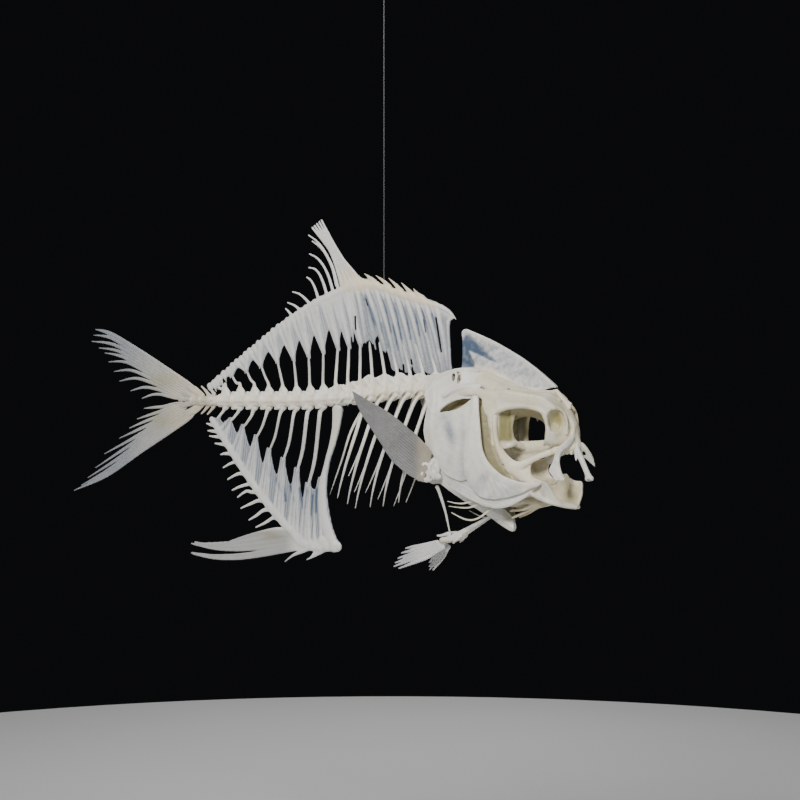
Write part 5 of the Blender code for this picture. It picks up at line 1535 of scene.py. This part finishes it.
# %% The upper jaws
clay = Clay((160, -14, -64), (190, 0.0, -22), 0.38)
clay.rod([(168, -2.6, -33, 1.6, 1.4), (169.6, -3.2, -37.5, 2, 1.7), (172.2, -4.4, -42, 2.2, 1.4),
          (175.5, -6.2, -47, 2.1, 1.3), (178.8, -7.8, -52.4, 2.1, 1.4), (181, -8.8, -56.2, 2.6, 1.5)],
         blend=1)
clay.rod([(168, -3.4, -37.5, 1.5, 1.3), (168.9, -5.4, -43.6, 0.6, 0.6)], blend=1.2)
clay.rod([(179.4, -8.6, -56.8, 1.7, 1.5), (183, -9.2, -56.6, 1.7, 1.5)], blend=0.8)
clay.ball((181.2, -9.4, -57.9), (1.6, 1, 1.3), blend=0.5, cut=True)
near_jaw = harden(clay, "upper_jaw_right", relief=0.06, lump=2.2, smallest=200)
near_jaw.paint(thin=0.28)
near_jaw.settle(bone, "bone", "premaxilla_right")



def far_jaw_half(x, z, edge):
    return 1.25 - 0.02 * np.maximum(-36 - z, 0)


clay = Clay((160, 0.4, -56), (190, 14, -22), 0.38)
clay.sheet([(163.6, -33.4), (165.2, -31.2), (168.2, -30.4), (171.4, -31.8), (174.4, -35.2), (176.8, -39.6),
            (178.2, -44), (178.6, -48.6), (175.8, -46.2), (172.6, -43.2), (169, -40.6),
            (165, -38.6)], lambda x, z: 2.2 + 0.32 * np.maximum(-36 - z, 0), far_jaw_half, rim=0.8, steps=4)
clay.rod([(169.5, 2, -33, 1.6, 1.8), (173.8, 3, -37.5, 1.6, 1.6), (176.8, 5.2, -43.5, 1.1, 1.2)], blend=1)
clay.ball((171.4, 3.4, -39), (1.7, 5, 1.6), blend=0.4, cut=True)
far_jaw = harden(clay, "upper_jaw_left", relief=0.06, lump=2.2, smallest=200)
far_jaw.paint(inner=0.16, thin=0.16)
far_jaw.settle(bone, "bone", "premaxilla_left")

# %% The lower jaw
JAW_BEND = [(134, 15.2), (140, 14.4), (147, 13.2), (156, 10.4), (162, 7.2), (167, 2.6), (169.4, 0.9),
            (172, 0.6)]
NEAR_RIM = [(134.6, -63.6), (140.4, -61.6), (146.2, -59.6), (149.6, -60.6), (152.4, -65.4), (155.4, -70.8),
            (160, -74), (164.4, -75.4), (168.6, -76.4)]
NEAR_JAW = NEAR_RIM + [(167.4, -79.2), (160, -77.8), (152, -75.8), (144, -73), (138, -69.8), (134.4, -67.2)]
FAR_RIM = [(136.6, -63.2), (140.6, -62), (142.2, -57.8), (144.4, -56.4), (147.4, -54.6), (149.4, -55.4),
           (152.4, -54.8), (156, -57.9), (162, -59.6), (166.4, -59.8), (168.4, -61.4), (168.8, -67.2),
           (168.9, -73), (168.4, -76.8)]
FAR_JAW = FAR_RIM + [(167.4, -79.2), (160, -77.8), (152, -75.8), (144, -73), (138, -69.8)]


def lower_jaw(name, node, side, outline, rim_line):
    def middle(x, z):
        # The wall leans out towards its rim, so the jaw is a bowl and not a box.
        lean = 2.4 * smooth((z + 80) / 24) * smooth((x - 140) / 8)
        lean = lean + 3.8 * smooth((x - 159) / 7) * smooth((z + 77) / 9)
        return side * (read(JAW_BEND, x, 2.0) - 1.1 + lean)

    def half(x, z, edge):
        return 0.62 + 0.42 * hump(line_distance(x, z, rim_line), 1.3)

    low_y, high_y = sorted((side * 0.3, side * 19))
    clay = Clay((131, low_y, -85), (176, high_y, -50), 0.38)
    clay.sheet(outline, middle, half, steps=4)
    clay.rod(on_side([(135, 16.4, -65.4, 2, 2), (139, 16, -63, 1.7, 1.8), (143, 15.2, -61, 1.4, 1.4)], side),
             blend=1.4)
    clay.rod(on_side([(137, 15.4, -68.4, 1.7, 1.3), (148, 12.6, -73.8, 1.4, 1.2),
                      (160, 8.6, -77.2, 1.2, 1.1), (167.6, 2.2, -78.4, 1.1, 1.1)], side), blend=1.4)
    made = harden(clay, name, relief=0.08, lump=2.6, hollow_shading=0.12)
    x, y, z = made.xyz
    inward = side * made.normals[:, 1] < -0.05
    from_rim = line_distance(x, z, rim_line)
    deep_in = mix(0.30, 0.42, smooth((-66 - z) / 6))
    made.paint(inner=np.where(inward, deep_in * smooth((from_rim - 1.2) / 3.5), 0),
               thin=np.where(inward, 0, 0.38 + 0.28 * lumps(made.places, 3.4)))
    made.settle(skull_bone, "skull_bone", node)


lower_jaw("lower_jaw_right", "mandible_right", -1, NEAR_JAW, NEAR_RIM)
lower_jaw("lower_jaw_left", "mandible_left", 1, FAR_JAW, FAR_RIM)

# %% The bars and rays of the throat
TONGUE_BAR = [(90, 14.8, -65, 2.4, 1.2), (98, 13.2, -69.4, 2.3, 1.3), (107, 10.8, -73.6, 2.4, 1.3),
              (118, 7.6, -77.3, 2.1, 1.2), (134, 4, -78.6, 1.6, 1.1), (149, 0.4, -75.2, 1.6, 1.4)]
THROAT_RAYS = [
    [(108, 11.3, -73.5, 1, 0.7), (98, 16.2, -76.2, 0.85, 0.6), (85, 16.4, -80.6, 0.7, 0.5),
     (68, 15.4, -80.2, 0.35, 0.35)],
    [(113, 9.3, -76.3, 1, 0.7), (107, 13.2, -78, 0.85, 0.65), (93, 13.8, -88, 0.8, 0.55),
     (82, 13.6, -89.8, 0.7, 0.5), (69, 13.4, -85, 0.35, 0.35)],
    [(100, 13.8, -72.5, 0.9, 0.65), (92, 17.4, -75, 0.75, 0.55), (80, 18.2, -77.6, 0.65, 0.5),
     (68, 17.2, -76.4, 0.35, 0.35)],
]
THROAT_BARS = [
    [(149.5, 1.5, -75.8, 1.3, 1.1), (140, 3, -76.6, 1.5, 1), (133, 4, -79.4, 1.4, 1), (125, 5, -84, 1.2, 0.9),
     (117, 6, -87.6, 0.8, 0.7)],
    [(146, 2, -74, 1.4, 1), (136, 5, -76.5, 1.6, 1), (127, 7, -80.5, 1.4, 0.9), (117, 8.6, -82, 1, 0.8)],
    [(140, 3.4, -73.6, 2, 0.9), (130, 7.2, -74.6, 2.4, 0.9), (119, 9.4, -76, 2.2, 0.9)],
]
clay = Clay((64, -21, -93), (153, 21, -60), 0.42)
for side in (-1, 1):
    clay.rod(on_side(TONGUE_BAR, side), blend=1.0)
    for bar in THROAT_BARS:
        clay.rod(on_side(bar, side), blend=0.8)
    for ray in THROAT_RAYS:
        clay.rod(on_side(ray, side), blend=0.8)
throat = harden(clay, "throat_bars", relief=0.05)
x = throat.xyz[0]
throat.paint(warm=0.12, thin=0.30 * smooth((100 - x) / 14), inner=0.30 * smooth((x - 104) / 14))
throat.settle(skull_bone, "skull_bone", "hyoid_arch")

# %% [markdown]
# ## The shoulders and the paired fins
#
# Behind the gill cover stands the shoulder: a long curved blade, tied to the skull above by a strap and
# meeting its fellow under the throat in a point. It carries the side fin on a knob of small bones. Below
# hangs the little girdle of the belly fins, the far one of which has slipped.

# %% The shoulders
SHOULDER = [(47.4, 18.5), (49.2, 11), (51.6, 0), (52.4, -8), (50.4, -23), (53, -34), (56, -41), (51.6, -48),
            (50.4, -54), (51.2, -60.4), (57, -63.4), (64, -63.4), (73, -69.8), (82, -77.4), (92.5, -86),
            (103, -93), (110.5, -97), (114.4, -98.2), (115.9, -96.6), (116, -92.6), (114.6, -86), (111, -81),
            (104, -77), (96, -73), (84, -64), (72, -52), (67, -35), (66, -15), (62.4, 0), (59.4, 18)]
SHOULDER_RIDGE = [(54, 16), (57.5, 0), (57, -20), (59.5, -38), (61.5, -54), (72, -65), (86, -76.5),
                  (100, -86.5), (115.5, -95.5)]


def shoulder_middle(x, z):
    narrow = 1 - 0.86 * smooth((-66 - z) / 32)
    return -np.maximum(head_half(x, z) * narrow - 3.65, 1.1)


def shoulder_half(x, z, edge):
    ridge = hump(line_distance(x, z, SHOULDER_RIDGE), 2.0)
    grain = wave(x * 0.55 + z, 2.9) * smooth((-62 - z) / 6)
    return 0.55 + 0.85 * ridge + 0.06 * grain


def strap_middle(x, z):
    fall = (0.30 + 0.50 * smooth((x - 80) / 14)) * np.maximum(z - 8, 0)
    foot = smooth((71 - x) / 8) * smooth((12 - z) / 12) * (2.4 + 0.24 * np.maximum(2 - z, 0))
    return -(17.6 - fall + foot)


clay = Clay((43, -30, -102), (122, 0, 28), 0.5)
clay.sheet(SHOULDER, shoulder_middle, shoulder_half, steps=4)
# The strap that ties it to the skull, with two slots behind it, and the plate below the strap.
STRAP = [(49, 4), (52, 10.5), (56.5, 16), (62.5, 19.6), (68.1, 21.8), (74, 23.3), (82, 24), (91.5, 23),
         (95, 18), (96, 12), (95, 5.5), (91.4, 1.3), (81, 0.7), (71.4, -1.8), (66, -6), (62, -10.5), (56, -8)]
STRAP_SLOTS = (
    [(74, 21), (76.6, 20.8), (78.6, 17.4), (78.2, 13.6), (76.4, 12), (75.4, 15), (75.6, 18)],
    [(70.4, 19), (72.4, 20), (73.4, 17), (73, 14), (71.4, 14.4)],
)
clay.sheet(STRAP, strap_middle, lambda x, z, edge: 0.75 + 0.4 * smooth((edge + 3) / 3), blend=1.6, steps=3,
           holes=STRAP_SLOTS)
# The bright ridge along the strap's lower half.
clay.rod([(66.2, -20.0, 2.9, 1.2, 1.0), (72, -18.6, 6.6, 1.4, 1.1), (79.4, -18.0, 9.2, 1.5, 1.1),
          (87, -17.2, 10.4, 1.4, 1.1), (94, -15.5, 10.7, 1, 1)], blend=1.6)
clay.rod([(52, -15.8, 8, 2.2, 1.3), (57, -15.6, 16.6, 1.6, 1.1), (67, -14, 21.2, 1.2, 1),
          (79, -13, 23, 1, 0.9), (91, -10.0, 22.0, 0.8, 0.7)], blend=1.6)
shoulder = harden(clay, "shoulder_right", relief=0.07, lump=3.4)
x, y, z = shoulder.xyz
# The web of the lower limb, away from its ridge, is painted dark blue-grey: partly thin bone, and partly
# painted shade for the shadow that the limb lies in.
under = smooth((-58 - z) / 8) * smooth((line_distance(x, z, SHOULDER_RIDGE) - 1.5) / 3.5)
shoulder.paint(thin=np.maximum(0.85 * under, 0.14),
               inner=0.5 * smooth((x - 106) / 5) * smooth((z + 92) / 5) * smooth((-72 - z) / 6))
shoulder.settle_both(bone, "bone", "shoulder_girdle")

for name, node, path in (
    ("rod_under_the_shoulder_right", "postcleithrum_right",
     [(60.3, -20, -65.6, 1.5, 1.1), (61.6, -17.6, -71.5, 1.3, 0.9), (63.2, -12.6, -84.5, 1, 0.75),
      (64.2, -7.8, -100, 0.6, 0.5)]),
    ("rod_under_the_shoulder_left", "postcleithrum_left",
     [(60.3, 20, -66.3, 1.1, 0.9), (61.2, 18.4, -71, 1.1, 0.8), (62.3, 15.8, -77, 0.7, 0.6)]),
):
    spots = np.array(path)[:, :3]
    clay = Clay(spots.min(0) - 4, spots.max(0) + 4, 0.4)
    clay.rod(path, blend=0.8)
    rod = harden(clay, name, relief=0.05, smallest=100)
    rod.paint(thin=0.2)
    rod.settle(bone, "bone", node)

# %% The side fins
FIN_TOP = [(60, -40), (52, -29.8), (44.6, -23), (36, -15.4), (27.2, -8.6), (15, -1.2), (2.8, 6.3)]
FIN_FOOT = [(54, -61), (44.6, -56.5), (36.5, -50.0), (29.4, -42.4), (15.4, -20.5), (8, -8.6), (2.8, 6.3)]
SIDE_RAYS = 15


def fin_face(x):
    return -(28.6 + 0.36 * (58 - x))


top_line, foot_line = (curve_through(line, 6) for line in (FIN_TOP, FIN_FOOT))
clay = Clay((0, -52, -66), (70, -23, 10), 0.5)
clay.sheet(FIN_TOP + FIN_FOOT[-2::-1], lambda x, z: fin_face(x), 0.30, rim=0.25, steps=3)
for share in np.linspace(0, 1, SIDE_RAYS):
    ends = int(round((len(top_line) - 1) * (1 - 0.42 * share ** 1.5)))
    ray = mix(top_line, foot_line, share)[:ends + 1:4]
    clay.ray(ray, (0.85, 0.45), (0.605, 0.485), 0.25, fin_face, steps=3)
side_fin = harden(clay, "side_fin_right", relief=0.05, lump=2.2)
x, y, z = side_fin.xyz
off_web = np.abs(y - fin_face(x)) - 0.35
side_fin.paint(thin=0.30 * (1 - smooth(off_web / 0.4)) * smooth((54 - x) / 8),
               warm=0.22 * smooth((x - 46) / 8))
# Both side fins get the dark grey bone with painted shade.
side_fin.settle_both(shaded_side_bone, "blade_bone", "pectoral_fin")

# The knob of small bones that the rays stand on.
clay = Clay((46, -35, -67), (72, -20, -40), 0.4)
for x, y, z, radii in ((56.4, -27.8, -49, (4.6, 2.4, 4)), (58.6, -27.4, -55.6, (5.6, 2.9, 4.8)),
                       (62.6, -26.6, -51.4, (4.2, 2.4, 5.6)), (56, -28.4, -59.4, (4, 2, 2.6)),
                       (64, -26.2, -57.4, (3.6, 2, 2.6)), (61.4, -26.6, -45.8, (2.8, 1.8, 2.4)),
                       (53, -29.2, -48.4, (2.8, 1.7, 3)), (52.6, -29.4, -55.4, (2.6, 1.7, 3.2))):
    clay.ball((x, y, z), radii, blend=1.1)
clay.rod([(62.0, -28.6, -46, 1.0, 1.0), (59.6, -29.6, -50.0, 1.1, 1.0), (59.8, -29.9, -54.0, 1.3, 1.1),
          (62.8, -29, -58.5, 1, 1)], blend=0.9)
for x, z, r in ((56, -51, 1.5), (62.6, -52, 1.9), (55.6, -56.6, 1.3), (60.6, -59, 1.1), (58, -46.2, 1)):
    clay.ball((x, -30.2, z), (r, 1.8, r * 1.4), blend=0.7, cut=True)
knob = harden(clay, "side_fin_knob_right", relief=0.12, lump=2.0)
knob.paint(thin=0.16 + 0.16 * lumps(knob.places, 2.4))
knob.settle_both(bone, "bone")

# %% The girdle and the fins of the belly
clay = Clay((44, -8, -113), (100, 8, -82), 0.4)
for side in (-1, 1):
    clay.rod(on_side([(95, 1.9, -87.8, 1, 0.8), (88, 2.2, -92, 1.4, 1), (80, 3, -96.5, 1.8, 1.2),
                      (72, 3.5, -101, 2.3, 1.5), (66, 3.6, -104.4, 2.9, 1.8), (60, 3.4, -106.6, 2.6, 2),
                      (55, 3.3, -107.4, 2.4, 2.1)], side), blend=0.8)
    clay.rod(on_side([(67, 3, -102.4, 1.9, 1.5), (60, 2.2, -102.2, 1.6, 1.3), (54, 1.6, -103.8, 1.2, 1),
                      (49.6, 1.2, -104.2, 0.7, 0.7)], side), blend=0.8)
    clay.rod(on_side([(72, 4.4, -103.5, 1, 0.9), (66, 5.2, -108.6, 0.8, 0.7)], side), blend=1)
    clay.ball((61.5, side * 4.6, -104.4), (1.6, 1.6, 1), blend=0.6, cut=True)
clay.rod([(62, -3.6, -104.8, 2.2, 1.7), (62, 3.6, -104.8, 2.2, 1.7)], blend=0.8)
clay.rod([(88, -2.2, -92.5, 0.9, 0.7), (88, 2.2, -92.5, 0.9, 0.7)], blend=0.8)
girdle = harden(clay, "belly_girdle", relief=0.08, lump=2.4)
x, y, z = girdle.xyz
girdle.paint(thin=0.25 + 0.25 * smooth((x - 74) / 10), inner=0.40 * smooth((-106.2 - z) / 2))
girdle.settle(bone, "bone", "pelvic_girdle")

BELLY_RAYS = [
    ((51.5, -108.6), (40, -111.2), (24.5, -114.6)), ((52.4, -109.8), (38, -113.8), (21, -118.4)),
    ((53.2, -111), (37, -116.4), (18, -122.6)), ((54.2, -111.8), (37.5, -118.2), (15.6, -126.2)),
    ((55.2, -112.5), (39, -119.6), (14.6, -129)), ((56.6, -112.8), (42.5, -121), (18.8, -130.4)),
]
FAR_FIN_TURN, FAR_FIN_SIZE = 26.0, 0.58
for name, node, side in (("belly_fin_right", "pelvic_fin_right", -1),
                         ("belly_fin_left", "pelvic_fin_left", 1)):
    clay = Clay((10, min(0, side * 12), -137), (60, max(0, side * 12), -103), 0.4)
    for number, (base, middle, tip) in enumerate(BELLY_RAYS):
        if side > 0:
            middle, tip = (between(base, turned(p, base, FAR_FIN_TURN), FAR_FIN_SIZE) for p in (middle, tip))
        stout = 1.25 if number == len(BELLY_RAYS) - 1 else 1.0
        path = [(*base, 1.5, 1.2), (*between(base, middle, 0.4), 1.4, 0.9), (*middle, 1.25 * stout, 0.7),
                (*between(middle, tip, 0.6), 1.2, 0.6), (*tip, 0.6, 0.4)]
        clay.rod([(x, side * (4.2 + 0.1 * (56 - x)), z, half, thin) for x, z, half, thin in path], blend=0.3)
    fin = harden(clay, name, relief=0.04, lump=2.2, smallest=200)
    fin.paint(thin=0.25 + 0.4 * smooth((44 - fin.xyz[0]) / 20))
    fin.settle(blade_bone, "blade_bone", node)

# %% [markdown]
# ## The mount
#
# A museum hangs such a skeleton from the ceiling by an eye. The plate is turned metal, so its section is
# drawn once and spun round the line, and so are the heads of its two screws. The eye is one bent wire: down,
# round in a loop, and twice round itself. The line is clear nylon, which is nearly grey against the dark.

# %% The nylon and the steel
bench = Bench("clear_nylon")
haze = bench.noise(400.0, 2.0, 0.5)
line.data.materials.append(bench.finish(
    {"Transmission Weight": 0.35, "IOR": 1.53, "Subsurface Weight": 0.0},
    Base_Color=bench.blend(haze, (0.09, 0.095, 0.105), (0.15, 0.155, 0.165)),
    Roughness=0.22 + 0.2 * haze,
))

bench = Bench("spun_steel")
rings = bench.noise(90.0, 3.0, 0.6)
fine = bench.noise(1500.0, 2.0, 0.5)
marks = bench.node("ShaderNodeBump", {}, {"Strength": 0.15, "Distance": 0.0002, "Height": fine}, "Normal")
steel = bench.finish(
    {"Metallic": 1.0},
    Base_Color=bench.blend(rings, (0.50, 0.51, 0.52), (0.64, 0.64, 0.63)),
    Roughness=0.26 + 0.16 * rings,
    Normal=marks,
)

# %% The plate, its screws and the eye
PLATE_SECTION = [(0, -3), (5, -3), (9.5, -2.9), (12.4, -2.4), (13.5, -1.6), (13.9, -0.8), (13.9, -0.3),
                 (13.6, -0.05), (0, -0.05)]
SCREW_SECTION = [(0, -3), (0.5, -3.3), (0.7, -3.75), (1.5, -3.7), (2.2, -3.4), (2.5, -2.95), (2.5, -2.5),
                 (0, -2.5)]
SCREW_OUT = 8.6


def spun(name, section, centre_x=0.0, sides=64):
    """A turned body: (radius, height) points from the axis round to the axis again."""
    shape = bmesh.new()
    spots = [shape.verts.new(((centre_x + radius) * MM, 0, height * MM)) for radius, height in section]
    edges = [shape.edges.new(pair) for pair in zip(spots, spots[1:])]
    bmesh.ops.spin(shape, geom=spots + edges, cent=(centre_x * MM, 0, 0), axis=(0, 0, 1), angle=2 * math.pi,
                   steps=sides, use_merge=True)
    bmesh.ops.remove_doubles(shape, verts=shape.verts, dist=1e-6)
    bmesh.ops.recalc_face_normals(shape, faces=shape.faces)
    mesh = bpy.data.meshes.new(name)
    shape.to_mesh(mesh)
    shape.free()
    mesh.shade_smooth()
    mesh.set_sharp_from_angle(angle=math.radians(40))
    mesh.materials.append(steel)
    made = bpy.data.objects.new(name, mesh)
    bpy.context.scene.collection.objects.link(made)
    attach(made, "root")
    return made


plate = spun("ceiling_plate", PLATE_SECTION)
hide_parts("hanger_plate")
for name, centre_x in (("plate_screw_front", SCREW_OUT), ("plate_screw_rear", -SCREW_OUT)):
    spun(name, SCREW_SECTION, centre_x, 24)

EYE_R, WIRE_R, EYE_Z, TWIST_R = 3.0, 0.75, -9.0, 1.45
bent = [(0, 0, -3), (0, 0, -4.2), (0, 0, -5.4)]
for t in np.linspace(0, 1, 28)[1:]:
    turn = math.pi / 2 - 2 * math.pi * t
    bent.append((EYE_R * math.cos(turn), 1.3 * smooth((t - 0.5) / 0.5), EYE_Z + EYE_R * math.sin(turn)))
for t in np.linspace(0, 1, 22)[1:]:
    turn = math.pi / 2 - 4 * math.pi * t
    bent.append((TWIST_R * math.cos(turn), TWIST_R * math.sin(turn), EYE_Z + EYE_R + 2.2 * t))
eye = wire("hanging_eye", bent, WIRE_R)
eye.data.materials.append(steel)
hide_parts("hanger_eye")
print("the mount: a plate, two screws and an eye of", round(2 * WIRE_R, 1), "mm wire")

# %% [markdown]
# ## The studio
#
# A plain pale floor lies under the fish. One large soft light hangs above the camera's left, a weaker one
# fills from the right, and a third behind lifts the edges. The world is a quiet grey, so that both the
# chalky and the glassy bone stand out from it.

# %% Floor and lights
FLOOR_DROP = 0.84
FLOOR_R = 1.5
WORLD_GREY = (0.0045, 0.0048, 0.0053)

bpy.ops.mesh.primitive_circle_add(vertices=128, radius=FLOOR_R, fill_type="NGON",
                                  location=(0, 0, -FLOOR_DROP))
floor = bpy.context.object
floor.name = "floor"
bench = Bench("pale_floor")
cloud = bench.noise(3, 2, 0.5)
floor.data.materials.append(bench.finish(
    {"Specular IOR Level": 0.2},
    Base_Color=bench.blend(cloud, (0.66, 0.66, 0.65), (0.72, 0.72, 0.71)),
    Roughness=0.75 + 0.1 * cloud,
))

world = bpy.data.worlds.new("studio_grey")
world.use_nodes = True
world.node_tree.nodes["Background"].inputs["Color"].default_value = (*WORLD_GREY, 1)
world.node_tree.nodes["Background"].inputs["Strength"].default_value = 1.0
bpy.context.scene.world = world


def soft_light(name, place, size, power, colour=(1, 1, 1)):
    light = bpy.data.lights.new(name, "AREA")
    light.shape = "DISK"
    light.size = size
    light.energy = power
    light.color = colour
    made = bpy.data.objects.new(name, light)
    made.location = place
    towards = np.array([-0.02, 0, -AXIS_DROP * MM]) - np.array(place)
    flat = math.hypot(towards[0], towards[1])
    made.rotation_euler = (math.atan2(flat, -towards[2]), 0, math.atan2(-towards[0], towards[1]))
    bpy.context.scene.collection.objects.link(made)


soft_light("key", (0.15, -1.5, 0.75), 0.6, 41, (1, 0.98, 0.95))
soft_light("fill", (1.6, -0.7, -0.1), 0.9, 6, (0.93, 0.96, 1))
soft_light("edge", (-0.7, 1.3, 0.5), 0.7, 12, (0.95, 0.97, 1))

# %% [markdown]
# ## The count
#
# The triangles of all the bones are added up and printed.

# %% Sizes and the end
print("triangles in all:", sum(TRIANGLES.values()))
